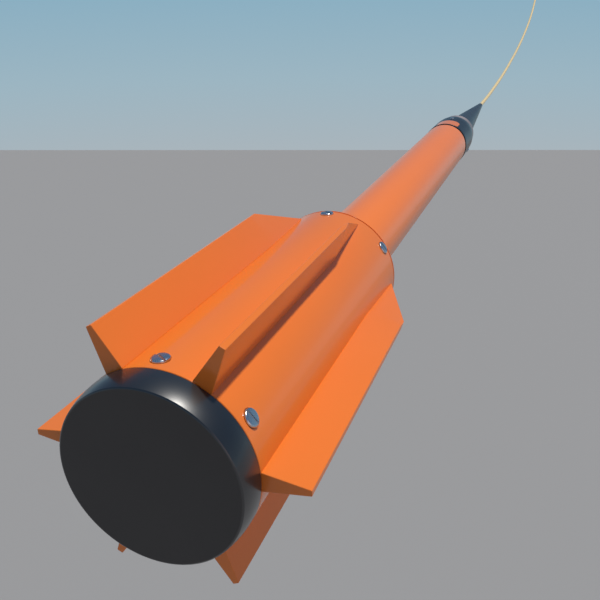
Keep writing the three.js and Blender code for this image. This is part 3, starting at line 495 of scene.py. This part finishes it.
# ---- Rings between tube and sleeve -----------------------------------------------------------
# Two machined rings carry the sleeve on the tube, with three drain holes through each. The rear
# one is black acetal behind the tail cap. The front one is orange and shows in front.
RING_INNER_R = 38.3 * MM
RING_OUTER_R = 56.7 * MM
RING_LENGTH = 18 * MM
RING_EDGE = 0.6 * MM
REAR_RING_SETBACK = 2 * MM
FRONT_RING_SETBACK = 311 * MM
DRAIN_R = 6.2 * MM
DRAIN_COUNT = 3
DRAIN_TURN = 33.2   # degrees


def lengthwise_pins(spots, radius, length, sides):
    """One cutter of many pins along X, each with its middle at a spot."""
    bm = bmesh.new()
    for spot in spots:
        at = Matrix.Translation(spot) @ Matrix.Rotation(math.pi / 2, 4, "Y")
        bmesh.ops.create_cone(
            bm, cap_ends=True, segments=sides, radius1=radius, radius2=radius, depth=length, matrix=at,
        )
    return finish_mesh("cutter", bm)


def radial(angle):
    """Unit vector out from the centre line, at degrees from +Z towards +Y."""
    turn = math.radians(angle)
    return Vector((0, math.sin(turn), math.cos(turn)))


def carrier_ring(name, start):
    end = start + RING_LENGTH
    ring = turned(name, eased([
        (start, RING_OUTER_R), (start, RING_INNER_R), (end, RING_INNER_R), (end, RING_OUTER_R),
    ], RING_EDGE), 128)
    drains = []
    for k in range(DRAIN_COUNT):
        out = radial(DRAIN_TURN + 360 / DRAIN_COUNT * k) * (RING_INNER_R + RING_OUTER_R) / 2
        drains.append((start + RING_LENGTH / 2, out.y, out.z))
    reshape(ring, lengthwise_pins(drains, DRAIN_R, 2 * RING_LENGTH, 32))
    return ring


acetal_black = moulded_material(
    "black_acetal", (0.03, 0.031, 0.034), (0.02, 0.02, 0.022), 0.03 * MM,
    {"Mottle": 0.5, "Grain Scale": 1200.0, "Roughness": 0.4, "Spread": 0.15},
)
front_ring = carrier_ring("front_carrier", REAR_X + FRONT_RING_SETBACK)
settle(front_ring, "fish", shell_orange, "orange_shell", "front_bulkhead")
rear_ring = carrier_ring("rear_carrier", REAR_X + REAR_RING_SETBACK)
settle(rear_ring, "fish", acetal_black, "black_cap", "rear_bulkhead")

# ---- Body tube -------------------------------------------------------------------------------
# A 3 inch glass-fibre tube, sprayed orange like the sleeve but a touch lighter. Its front rim is
# eased, and the nose bulkhead closes it.
TUBE_R = 38 * MM
TUBE_WALL = 3 * MM
TUBE_LENGTH = 1004 * MM
TUBE_REAR_EASE = 0.5 * MM
TUBE_FRONT_EASE = 1.6 * MM
TUBE_BORE_EASE = 0.4 * MM
tube_front = REAR_X + TUBE_LENGTH
tube_bore_r = TUBE_R - TUBE_WALL
tube = turned("body_tube_shell", eased([
    (REAR_X, TUBE_R, TUBE_REAR_EASE), (REAR_X + 0.3, TUBE_R), (REAR_X + 0.6, TUBE_R),
    (tube_front - 6 * MM, TUBE_R), (tube_front, TUBE_R, TUBE_FRONT_EASE),
    (tube_front, tube_bore_r, TUBE_BORE_EASE), (REAR_X, tube_bore_r, TUBE_BORE_EASE),
]), 160)
tube_orange = moulded_material(
    "tube_paint", (0.92, 0.222, 0.032), (0.88, 0.198, 0.026), 0.04 * MM,
    {"Mottle": 0.5, "Grain Scale": 700.0, "Roughness": 0.22, "Spread": 0.06},
    Specular_IOR_Level=0.5,
)
settle(tube, "fish", tube_orange, "orange_shell", "body_tube")

# ---- Tail cap --------------------------------------------------------------------------------
# A black moulded cap that closes the tail. Its crowned rim is polished and its end face is matt. A
# hollow spigot with an O-ring pushes into the tube, so it pulls straight off.
CAP_LENGTH = 19.8 * MM
CAP_EDGE = 2 * MM
CAP_EDGE_TURN = math.radians(50)
CAP_EDGE_STEPS = 9
CAP_FACE_BAND = 14 * MM
FLAT_FACE_MARGIN = 0.05 * MM  # what is within this of the rear end is the matt end face
CAP_CROWN = 2.2 * MM          # how far the rim falls in from the seat to the rear edge
CAP_CROWN_POWER = 2.2
CAP_CROWN_STEPS = 18
CAP_SEAT_BAND = 3 * MM
CAP_SEAT_EASE = 0.6 * MM
SPIGOT_R = 34.7 * MM
SPIGOT_WALL = 7 * MM
SPIGOT_LENGTH = 34 * MM
SPIGOT_LEAD = 2 * MM
ORING_SETBACK = 12 * MM
ORING_GROOVE_HALF = 2.2 * MM
ORING_GROOVE_DEPTH = 2.6 * MM
cap_rear = REAR_X - CAP_LENGTH
cap_seat = REAR_X - CLEARANCE
face_r = SLEEVE_R - CAP_CROWN - CAP_EDGE * math.sin(CAP_EDGE_TURN)
cap_outline = [(cap_rear, 0), (cap_rear, SLEEVE_R - CAP_FACE_BAND), (cap_rear, face_r - 0.6 * MM)]
for k in range(CAP_EDGE_STEPS + 1):
    turn = CAP_EDGE_TURN * k / CAP_EDGE_STEPS
    cap_outline.append((cap_rear + CAP_EDGE * (1 - math.cos(turn)), face_r + CAP_EDGE * math.sin(turn)))
crown_end = cap_rear + CAP_EDGE * (1 - math.cos(CAP_EDGE_TURN))
crown_length = cap_seat - CAP_SEAT_BAND - crown_end
for k in range(1, CAP_CROWN_STEPS + 1):
    share = 1 - k / CAP_CROWN_STEPS
    cap_outline.append((
        crown_end + crown_length * (1 - share), SLEEVE_R - CAP_CROWN * share ** CAP_CROWN_POWER,
    ))
seat_corner = 0.3 * CAP_SEAT_EASE
cap_outline += [
    (cap_seat - CAP_SEAT_EASE, SLEEVE_R), (cap_seat - seat_corner, SLEEVE_R - seat_corner),
    (cap_seat, SLEEVE_R - CAP_SEAT_EASE), (cap_seat, SPIGOT_R),
]
groove_x = REAR_X + ORING_SETBACK
groove_r = SPIGOT_R - ORING_GROOVE_DEPTH
spigot_end = REAR_X + SPIGOT_LENGTH
cap_outline += [
    (groove_x - ORING_GROOVE_HALF, SPIGOT_R), (groove_x - ORING_GROOVE_HALF, groove_r),
    (groove_x + ORING_GROOVE_HALF, groove_r), (groove_x + ORING_GROOVE_HALF, SPIGOT_R),
    (spigot_end - SPIGOT_LEAD, SPIGOT_R), (spigot_end, SPIGOT_R - SPIGOT_LEAD),
    (spigot_end, SPIGOT_R - SPIGOT_WALL), (REAR_X, SPIGOT_R - SPIGOT_WALL), (REAR_X, 0),
]
cap = turned("tail_cap_moulding", cap_outline, 192, 20)
cap_gloss = moulded_material(
    "cap_rim", (0.005, 0.006, 0.009), (0.003, 0.004, 0.006), 0.02 * MM,
    {"Mottle": 0.5, "Grain Scale": 900.0, "Roughness": 0.34, "Spread": 0.04},
    Specular_IOR_Level=0.9, Coat_Weight=0.4, Coat_Roughness=0.04,
)
cap_matt = moulded_material(
    "cap_face", (0.066, 0.058, 0.052), (0.060, 0.053, 0.047), 0.05 * MM,
    {"Mottle Scale": 22.0, "Mottle": 0.6, "Grain Scale": 1600.0, "Roughness": 0.62, "Spread": 0.1},
    Specular_IOR_Level=0.3,
)
cap.data.materials.append(cap_gloss)
cap.data.materials.append(cap_matt)
for face in cap.data.polygons:
    if face.center.x < cap_rear + FLAT_FACE_MARGIN:
        face.material_index = 1
settle(cap, "tail_cap", cap_gloss, "black_cap", "tail_cap")

# ---- Nose cap --------------------------------------------------------------------------------
# A glossy black cap with a domed front that slides over the boss of the nose bulkhead. A window
# in its rear edge takes the key, and three small slotted screws hold it.
NOSE_R = 38.6 * MM
NOSE_BOSS_R = 33 * MM
NOSE_DOME = 40 * MM
NOSE_DOME_STEPS = 14
NOSE_LIP = 0.4 * MM           # how far the dome's front edge stands over the face ring
NOSE_FRONT_WALL = 26 * MM
NOSE_REAR_EASE = 0.8 * MM
NOSE_BORE_EASE = 0.4 * MM
GLAND_HOLE_R = 12.3 * MM
FACE_RING_R = 34.2 * MM
nose_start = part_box("nose_cap")[0][0]
nose_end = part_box("nose_cap")[1][0]
dome_start = nose_end - NOSE_DOME
dome_front_r = FACE_RING_R + NOSE_LIP
nose_outline = [
    (nose_start, NOSE_R, NOSE_REAR_EASE), (nose_start + 10 * MM, NOSE_R), (nose_start + 48 * MM, NOSE_R),
    (dome_start - 8 * MM, NOSE_R),
]
for k in range(NOSE_DOME_STEPS + 1):
    turn = math.radians(90 - 90 * k / NOSE_DOME_STEPS)
    nose_outline.append((
        dome_start + NOSE_DOME * math.cos(turn), dome_front_r + (NOSE_R - dome_front_r) * math.sin(turn),
    ))
wall_x = nose_end - NOSE_FRONT_WALL
nose_outline += [
    (nose_end, GLAND_HOLE_R), (wall_x, GLAND_HOLE_R), (wall_x, NOSE_BOSS_R + CLEARANCE),
    (nose_start, NOSE_BOSS_R + CLEARANCE, NOSE_BORE_EASE),
]
nose = turned("nose_cap_moulding", eased(nose_outline), 160, 40)
KEY_LENGTH = 38 * MM
KEY_HALF_ANGLE = 30
KEY_CORNER = 8 * MM
KEY_SETBACK = 4 * MM
key_start = nose_start + KEY_SETBACK


def rounded_prism(start, length, half_angle, outer_r, corner):
    """A tall rounded block over the top of the nose, to cut the window and the key with."""
    half = math.sin(math.radians(half_angle)) * outer_r
    foot, head, corner_steps = 5 * MM, outer_r + 8 * MM, 8
    bm = bmesh.new()
    low, high = [], []
    for cx, cy, first in (
        (start + corner, -half + corner, 180), (start + length - corner, -half + corner, 270),
        (start + length - corner, half - corner, 0), (start + corner, half - corner, 90),
    ):
        for k in range(corner_steps + 1):
            turn = math.radians(first + 90 * k / corner_steps)
            at = (cx + corner * math.cos(turn), cy + corner * math.sin(turn))
            low.append(bm.verts.new((*at, foot)))
            high.append(bm.verts.new((*at, head)))
    count = len(low)
    for k in range(count):
        bm.faces.new((low[k], low[(k + 1) % count], high[(k + 1) % count], high[k]))
    bm.faces.new(low)
    bm.faces.new(high)
    return finish_mesh("cutter", bm)


reshape(nose, rounded_prism(
    key_start - CLEARANCE, KEY_LENGTH + 2 * CLEARANCE, KEY_HALF_ANGLE + 1, NOSE_R, KEY_CORNER + CLEARANCE,
), angle=40)
NOSE_SCREW_SETBACK = 44 * MM
NOSE_SCREWS = {0: 25, 120: -50, 240: 80}   # degrees round the cap: degrees of the slot
NOSE_SEAT_DEPTH = 0.6 * MM
NOSE_HEAD_R = 4 * MM
NOSE_HEAD_HEIGHT = 2 * MM
NOSE_SHANK_R = 2 * MM
NOSE_SCREW_LENGTH = 14 * MM
nose_screw_x = nose_end - NOSE_SCREW_SETBACK
nose_seat = NOSE_R - NOSE_SEAT_DEPTH
nose_spot_faces = [
    (nose_screw_x, a, nose_seat, NOSE_R + SEAT_CUTTER_REACH, NOSE_HEAD_R + CLEARANCE) for a in NOSE_SCREWS
]
nose_screw_holes = [
    (nose_screw_x, a, NOSE_BOSS_R - 2 * MM, NOSE_R, NOSE_SHANK_R + CLEARANCE) for a in NOSE_SCREWS
]
reshape(nose, joined_pins(nose_spot_faces, 32), angle=40)
reshape(nose, joined_pins(nose_screw_holes, 20), angle=40)
soften(nose, 0.3 * MM, 2, 50)
nose_black = moulded_material(
    "nose_black", (0.005, 0.007, 0.011), (0.003, 0.004, 0.007), 0.02 * MM,
    {"Mottle": 0.5, "Grain Scale": 900.0, "Roughness": 0.3, "Spread": 0.06},
    Specular_IOR_Level=0.3, Coat_Weight=0.15, Coat_Roughness=0.06,
)
settle(nose, "fish", nose_black, "black_cap", "nose_cap")
for number, (angle, slot_turn) in enumerate(NOSE_SCREWS.items(), 1):
    screw = slotted_screw(
        f"nose_screw_{number}_head", outward(nose_screw_x, angle), nose_seat, NOSE_HEAD_R,
        NOSE_HEAD_HEIGHT, NOSE_SHANK_R, NOSE_SCREW_LENGTH, slot_turn,
    )
    soften(screw, 0.1 * MM)
    settle(screw, "fish", screw_steel, "steel", f"nose_screw_{number}")

# ---- Key -------------------------------------------------------------------------------------
# An orange block with rounded corners in the window of the nose cap. It keys the cap to the
# bulkhead, so the cap can't turn.
KEY_TOP_R = NOSE_R + 0.1 * MM
KEY_FOOT_R = NOSE_BOSS_R - 1.5 * MM
blank_start = key_start - 5 * MM
blank_end = key_start + 50 * MM
key = turned("nose_key_block", [
    (blank_start, KEY_FOOT_R), (blank_start, KEY_TOP_R), (blank_end, KEY_TOP_R), (blank_end, KEY_FOOT_R),
], 160)
reshape(key, rounded_prism(key_start, KEY_LENGTH, KEY_HALF_ANGLE, NOSE_R, KEY_CORNER), "INTERSECT", 40)
soften(key, 0.6 * MM, 3, 50)
settle(key, "fish", shell_orange, "orange_shell", "nose_key")

# ---- Face ring -------------------------------------------------------------------------------
# An aluminium ring, turned and clear-anodised. It faces the front of the nose cap, and the cable
# gland passes through its bore.
FACE_RING_EDGE = 0.7 * MM
ring_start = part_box("nose_ring")[0][0]
ring_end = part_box("nose_ring")[1][0]
face_ring = turned("face_ring", eased([
    (ring_start, GLAND_HOLE_R), (ring_start, FACE_RING_R), (ring_end, FACE_RING_R),
    (ring_end, GLAND_HOLE_R),
], FACE_RING_EDGE), 128)
ring_aluminium = metal_material("ring_aluminium", (0.46, 0.39, 0.38), 0.55)
settle(face_ring, "fish", ring_aluminium, "aluminium", "nose_ring")

# ---- Bend restrictor -------------------------------------------------------------------------
# A long polyurethane cone with a hole for the cable, moulded in one piece. It screws on to the
# gland, so that the cable can't kink where it leaves the nose.
CONE_BASE_R = 27.6 * MM
CONE_TIP_R = 5.2 * MM
CONE_STEPS = 24
CONE_BASE_EASE = 1.0 * MM
CONE_TIP_EASE = 0.5 * MM
NUT_POCKET_R = 16 * MM
NUT_POCKET_DEPTH = 26 * MM
cable_hole_r = CABLE_R + CLEARANCE
cone_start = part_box("bend_restrictor")[0][0]
cone_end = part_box("bend_restrictor")[1][0]
cone_length = cone_end - cone_start
cone_outline = [(cone_start, NUT_POCKET_R), (cone_start, CONE_BASE_R, CONE_BASE_EASE)]
for k in range(1, CONE_STEPS):
    share = k / CONE_STEPS
    cone_outline.append((
        cone_start + cone_length * share, CONE_BASE_R + (CONE_TIP_R - CONE_BASE_R) * share,
    ))
pocket_end = cone_start + NUT_POCKET_DEPTH
cone_outline += [
    (cone_end, CONE_TIP_R, CONE_TIP_EASE), (cone_end, cable_hole_r), (pocket_end, cable_hole_r),
    (pocket_end, NUT_POCKET_R),
]
cone = turned("bend_restrictor_moulding", eased(cone_outline), 96)
boot_rubber = moulded_material(
    "restrictor_rubber", (0.008, 0.014, 0.026), (0.005, 0.008, 0.015), 0.04 * MM,
    {"Mottle": 0.6, "Grain Scale": 1000.0, "Roughness": 0.33, "Spread": 0.1},
)
settle(cone, "fish", boot_rubber, "bend_boot", "bend_restrictor")

# ---- Boot at the deck end --------------------------------------------------------------------
# A ribbed rubber boot, moulded on the far end of the cable, that stiffens it where it enters the
# socket. It and the pieces after it are shaped along X from the cable's end, then carried there.
DECK_BEFORE, DECK_END = (Vector((forward * MM, 0, rise * MM)) for forward, rise in CABLE_ROUTE[-2:])
DECK_DIRECTION = (DECK_END - DECK_BEFORE).normalized()
deck_turn = Matrix.Rotation(-math.atan2(DECK_DIRECTION.z, DECK_DIRECTION.x), 4, "Y")
DECK = Matrix.Translation(DECK_END) @ deck_turn
SOCKET_START = -14 * MM
BOOT_LENGTH = 62.3 * MM
BOOT_RIBS = 7
BOOT_RIB_PITCH = 7            # mm, from one rib to the next
BOOT_FIRST_RIB = 4            # mm, from the boot's thin end
BOOT_RIB = [(0, 0, 0.3), (4.4, 0.5, 0.8), (4.6, -1.0, 0.3), (6.6, -0.7, 0.3)]   # along, out, easing in mm
boot_start = SOCKET_START - BOOT_LENGTH
boot_end = SOCKET_START - CLEARANCE
boot_outline = [(boot_start, cable_hole_r), (boot_start, 5.8 * MM, 0.5 * MM)]
for k in range(BOOT_RIBS):
    along = BOOT_FIRST_RIB + BOOT_RIB_PITCH * k
    x = boot_start + along * MM
    r = (5.9 + 6.2 * along / 54) * MM   # from 5.9 mm, and 6.2 mm more by 54 mm along
    boot_outline += [(x + forward * MM, r + out * MM, ease * MM) for forward, out, ease in BOOT_RIB]
boot_outline += [
    (boot_end - 7 * MM, 12.2 * MM, 0.6 * MM), (boot_end, 13 * MM, 0.8 * MM), (boot_end, cable_hole_r),
]
boot = turned("deck_boot_moulding", eased(boot_outline), 64)
boot.data.transform(DECK)
seal_rubber = moulded_material(
    "seal_rubber", (0.022, 0.022, 0.022), (0.03, 0.03, 0.03), 0.05 * MM,
    {"Mottle": 0.5, "Grain Scale": 1300.0, "Roughness": 0.6, "Spread": 0.15},
)
settle(boot, "fish", seal_rubber, "seal_rubber", "deck_boot")

# ---- Socket at the deck end ------------------------------------------------------------------
# A stainless socket, turned from bar. The cable's strength member is potted in it, and two tapped
# holes in its sides take the bail's pivot screws.
SOCKET_END = 32 * MM
SOCKET_R = 14 * MM
PIVOT_X = 16 * MM
PIVOT_HOLE_R = 4.3 * MM
PIVOT_SHANK_R = 4 * MM
SOCKET_EASE = 1.5 * MM
WITNESS_EASE = 0.3 * MM       # of the thin line turned round the socket


def pivot_pins(low, high, radius, sides):
    """A cutter of two pins on the bail's axis, one on each side."""
    return joined_pins([(PIVOT_X, side, low, high, radius) for side in (90, -90)], sides)


socket = turned("deck_socket_turning", eased([
    (CLEARANCE, 0), (CLEARANCE, cable_hole_r), (SOCKET_START, cable_hole_r),
    (SOCKET_START, SOCKET_R, SOCKET_EASE), (-5 * MM, SOCKET_R, WITNESS_EASE),
    (-4.2 * MM, SOCKET_R - 0.8 * MM), (-3.4 * MM, SOCKET_R, WITNESS_EASE),
    (SOCKET_END, SOCKET_R, SOCKET_EASE), (SOCKET_END, 0),
]), 96)
reshape(socket, pivot_pins(SOCKET_R - 6.3 * MM, SOCKET_R + 4 * MM, PIVOT_HOLE_R, 32))
socket.data.transform(DECK)
deck_steel = metal_material("deck_steel", (0.60, 0.62, 0.65), 0.27)
settle(socket, "fish", deck_steel, "steel", "deck_socket")

# ---- Towing bail -----------------------------------------------------------------------------
# A stainless bar bent to a U, with an eye welded to each end, that swings on two shouldered
# screws in the socket. A shackle goes through its bow.
BAIL_HALF = 20.5 * MM
BAIL_BAR_R = 3.2 * MM
BAIL_REACH = 84 * MM
BAIL_EYE_R = 7.5 * MM
BAIL_BOW_STEPS = 24
bow_x = PIVOT_X + BAIL_REACH - BAIL_HALF
leg_stations = [PIVOT_X, PIVOT_X + 20 * MM, bow_x - 12 * MM]
bail_path = [Vector((x, -BAIL_HALF, 0)) for x in leg_stations]
for k in range(BAIL_BOW_STEPS + 1):
    turn = -math.pi / 2 + math.pi * k / BAIL_BOW_STEPS
    bail_path.append(Vector((bow_x + BAIL_HALF * math.cos(turn), BAIL_HALF * math.sin(turn), 0)))
bail_path += [Vector((x, BAIL_HALF, 0)) for x in reversed(leg_stations)]


def bar_along(name, path, radius, sides=24):
    """A round bar along points in the XY plane, closed at its two ends."""
    bm = bmesh.new()
    rings = []
    for i, here in enumerate(path):
        along = (path[min(i + 1, len(path) - 1)] - path[max(i - 1, 0)]).normalized()
        side = Vector((-along.y, along.x, 0))
        rings.append([
            bm.verts.new(here + side * (radius * math.cos(a)) + Vector((0, 0, radius * math.sin(a))))
            for a in (2 * math.pi * k / sides for k in range(sides))
        ])
    for one, two in zip(rings, rings[1:]):
        for k in range(sides):
            bm.faces.new((one[k], one[(k + 1) % sides], two[(k + 1) % sides], two[k]))
    bm.faces.new(rings[0])
    bm.faces.new(rings[-1])
    return finish_mesh(name, bm)


bail = bar_along("deck_bail_bar", bail_path, BAIL_BAR_R)
reshape(bail, pivot_pins(BAIL_HALF - BAIL_BAR_R, BAIL_HALF + BAIL_BAR_R, BAIL_EYE_R, 48), "UNION")
reshape(bail, pivot_pins(SOCKET_R, BAIL_HALF + 9 * MM, PIVOT_HOLE_R, 32))
soften(bail, 0.5 * MM, 2, 45)
bail.data.transform(DECK)
settle(bail, "deck_bail", deck_steel, "steel", "deck_bail")

PIVOT_HEAD_R = 6.5 * MM
PIVOT_HEAD_HEIGHT = 2.4 * MM
PIVOT_LENGTH = 15.9 * MM
PIVOT_SLOT_TURN = 35
for side, name in ((1, "left"), (-1, "right")):
    pivot = slotted_screw(
        f"{name}_pivot_screw", DECK @ outward(PIVOT_X, 90 * side), BAIL_HALF + BAIL_BAR_R,
        PIVOT_HEAD_R, PIVOT_HEAD_HEIGHT, PIVOT_SHANK_R, PIVOT_LENGTH, PIVOT_SLOT_TURN * side,
    )
    soften(pivot, HEAD_EDGE)
    settle(pivot, "fish", deck_steel, "steel", f"{name}_bail_pivot")

# ---- Connector and coupling ring -------------------------------------------------------------
# A round brass plug with four contacts in its mouth, and an anodised aluminium ring that turns on
# it and is knurled for the fingers.
PLUG_R = 9 * MM
PLUG_LENGTH = 34 * MM
PLUG_MOUTH_DEPTH = 14 * MM
PLUG_MOUTH_R = PLUG_R - 2 * MM
CONTACT_COUNT = 4
CONTACT_SPREAD = 3.4 * MM
CONTACT_R = 0.9 * MM
CONTACT_LENGTH = 11 * MM
plug_start = SOCKET_END + CLEARANCE
plug_end = plug_start + PLUG_LENGTH
plug_floor = plug_end - PLUG_MOUTH_DEPTH
plug = turned("deck_connector_shell", eased([
    (plug_start, 0), (plug_start, PLUG_R, 0.4 * MM), (plug_end, PLUG_R, 0.5 * MM),
    (plug_end, PLUG_MOUTH_R, 0.3 * MM), (plug_floor, PLUG_MOUTH_R), (plug_floor, 0),
]), 64)


def spots_round(count, x, r):
    """Places evenly round the deck end's own centre line."""
    turns = [2 * math.pi * k / count for k in range(count)]
    return [(x, r * math.cos(turn), r * math.sin(turn)) for turn in turns]


contact_spots = spots_round(CONTACT_COUNT, plug_floor + 4.5 * MM, CONTACT_SPREAD)
reshape(plug, lengthwise_pins(contact_spots, CONTACT_R, CONTACT_LENGTH, 20), "UNION")
plug.data.transform(DECK)
plug_brass = metal_material("connector_brass", (0.72, 0.52, 0.24), 0.32)
settle(plug, "fish", plug_brass, "brass", "deck_connector")

COUPLING_R = 13.5 * MM
COUPLING_LENGTH = 22 * MM
COUPLING_SETBACK = 6 * MM
COUPLING_RIM_EASE = 0.8 * MM
COUPLING_BORE_EASE = 0.4 * MM
KNURL_COUNT = 24
KNURL_R = 0.85 * MM
KNURL_LENGTH = 24 * MM
coupling_start = SOCKET_END + COUPLING_SETBACK
coupling_end = coupling_start + COUPLING_LENGTH
coupling_bore_r = PLUG_R + CLEARANCE
coupling = turned("coupling_ring_knurl", eased([
    (coupling_start, COUPLING_R, COUPLING_RIM_EASE), (coupling_end, COUPLING_R, COUPLING_RIM_EASE),
    (coupling_end, coupling_bore_r, COUPLING_BORE_EASE),
    (coupling_start, coupling_bore_r, COUPLING_BORE_EASE),
]), 96)
knurl_spots = spots_round(KNURL_COUNT, coupling_start + 15 * MM, COUPLING_R + 0.35 * MM)
reshape(coupling, lengthwise_pins(knurl_spots, KNURL_R, KNURL_LENGTH, 12))
coupling.data.transform(DECK)
settle(coupling, "coupling_ring", ring_aluminium, "aluminium", "coupling_ring")

# ---- Inside the body -------------------------------------------------------------------------
# The sealed pieces keep their imported shapes: trim weight on its rod, the tray with its board and
# modules, the two rods, the sensor flask and winding in foam, the nose bulkhead, dark and tinted
# red-brown as painted shade for its seam, and the gland with its clamp.
board_green = moulded_material(
    "board_mask", (0.02, 0.12, 0.05), (0.03, 0.17, 0.07), 0.03 * MM,
    {"Mottle Scale": 160.0, "Mottle": 0.9, "Grain Scale": 1500.0, "Roughness": 0.35, "Spread": 0.2},
)
cell_foam = moulded_material(
    "cell_foam", (0.70, 0.67, 0.58), (0.50, 0.47, 0.40), 0.3 * MM,
    {"Mottle Scale": 260.0, "Mottle": 0.8, "Grain Scale": 420.0, "Roughness": 0.9, "Spread": 0.1},
)
flask_ivory = moulded_material(
    "flask_ivory", (0.78, 0.75, 0.64), (0.70, 0.66, 0.54), 0.03 * MM,
    {"Mottle": 0.5, "Roughness": 0.3, "Spread": 0.1},
)
# Dark anodised for the nose bulkhead, tinted red-brown: painted shade for the thin seam between the tube
# and the nose cap, where its flange shows.
anodised_seam_shade = moulded_material(
    "anodised_seam_shade", (0.050, 0.022, 0.018), (0.036, 0.016, 0.013), 0.02 * MM,
    {"Mottle": 0.5, "Grain Scale": 1400.0, "Roughness": 0.42, "Spread": 0.1},
)
bright_aluminium = metal_material("bright_aluminium", (0.75, 0.76, 0.77), 0.34)
trim_brass = metal_material("trim_brass", (0.70, 0.52, 0.25), 0.36)
winding_copper = metal_material("winding_copper", (0.62, 0.28, 0.13), 0.34, 2600.0, 0.12 * MM)
FINISHES = {
    screw_steel: ("trim_rod", "counter_module", "gland_body", "gland_nut"),
    bright_aluminium: (
        "trim_disc", "tray_rear_disc", "tray_front_disc", "electronics_tray", "left_rod", "right_rod",
    ),
    anodised_seam_shade: ("nose_bulkhead",),
    trim_brass: ("trim_weight", "strength_clamp"),
    winding_copper: ("sensor_winding",),
    board_green: ("main_board",),
    acetal_black: ("power_module",),
    cell_foam: ("rear_cradle", "front_cradle"),
    flask_ivory: ("sensor_flask",),
    cable_yellow: ("cable_tail",),
    seal_rubber: ("tail_oring", "nose_oring"),
}
for material, names in FINISHES.items():
    for name in names:
        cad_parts[name].material_slots[0].material = material

# ---- Floor and light -------------------------------------------------------------------------
# A wide plain floor far below the body, a lamp almost overhead, a dim warm lamp low behind the
# right side, and a graded sky, pale at the horizon, for the glossy pieces to show.
FLOOR_Z = -9   # metres, like the floor's other sizes
FLOOR_AHEAD = 46.5
FLOOR_BEHIND = -107
FLOOR_HALF_WIDTH = 107
FLOOR_SLANT = 0.046
floor_mesh = bpy.data.meshes.new("floor")
heading = Vector((-camera_back.x, -camera_back.y, 0)).normalized()
aside = Vector((-heading.y, heading.x, 0)) + heading * FLOOR_SLANT
floor_centre = Vector((camera.location.x, camera.location.y, FLOOR_Z))
floor_corners = [
    floor_centre + heading * ahead + aside * across
    for ahead, across in (
        (FLOOR_BEHIND, -FLOOR_HALF_WIDTH), (FLOOR_BEHIND, FLOOR_HALF_WIDTH),
        (FLOOR_AHEAD, FLOOR_HALF_WIDTH), (FLOOR_AHEAD, -FLOOR_HALF_WIDTH),
    )
]
floor_mesh.from_pydata(floor_corners, [], [(0, 3, 2, 1)])
floor = add_object("floor", floor_mesh)
floor_paint = bpy.data.materials.new("floor_paint")
floor_paint.use_nodes = True
floor_shader = floor_paint.node_tree.nodes["Principled BSDF"]
floor_shader.inputs["Base Color"].default_value = (0.292, 0.284, 0.276, 1)
floor_shader.inputs["Roughness"].default_value = 0.9
floor.data.materials.append(floor_paint)

world = bpy.data.worlds.new("sky")
bpy.context.scene.world = world
world.use_nodes = True
sky = world.node_tree
backdrop = sky.nodes["Background"]
sky_place = sky.nodes.new("ShaderNodeTexCoord").outputs["Generated"]
split = sky.nodes.new("ShaderNodeSeparateXYZ")
link(sky, sky_place, split.inputs[0])
SKY_FLOOR = 0.2   # the first colour is this far below level, where straight down is 1
SKY_FIRST = (0.40, 0.46, 0.50, 1)
SKY_BANDS = {0.083: (0.335, 0.465, 0.54, 1), 0.167: (0.26, 0.43, 0.54, 1), 0.192: (0.19, 0.30, 0.41, 1)}
SKY_LAST = (0.10, 0.18, 0.30, 1)
ramp = sky.nodes.new("ShaderNodeValToRGB")
stops = ramp.color_ramp.elements
stops[0].color = SKY_FIRST
for position, color in SKY_BANDS.items():
    stops.new(position).color = color
stops[-1].position = 0.4
stops[-1].color = SKY_LAST
height = math_node(sky, "ADD", split.outputs["Z"], SKY_FLOOR)
link(sky, math_node(sky, "DIVIDE", height, 1 + SKY_FLOOR), ramp.inputs["Fac"])
link(sky, ramp.outputs["Color"], backdrop.inputs["Color"])
backdrop.inputs["Strength"].default_value = 1.0


def distant_lamp(name, energy, spread, color, direction):
    """A lamp far off in a direction, spread over some degrees of sky."""
    data = bpy.data.lights.new(name, "SUN")
    data.energy = energy
    data.angle = math.radians(spread)
    data.color = color
    add_object(name, data).rotation_euler = Vector(direction).to_track_quat("Z", "Y").to_euler()


distant_lamp("lamp", 3.05, 3, (1.0, 0.96, 0.90), (0.155, -0.20, 0.967))
distant_lamp("side_lamp", 0.50, 60, (1.0, 0.58, 0.42), (-0.45, -0.85, 0.05))
bpy.context.scene.view_settings.view_transform = "Standard"
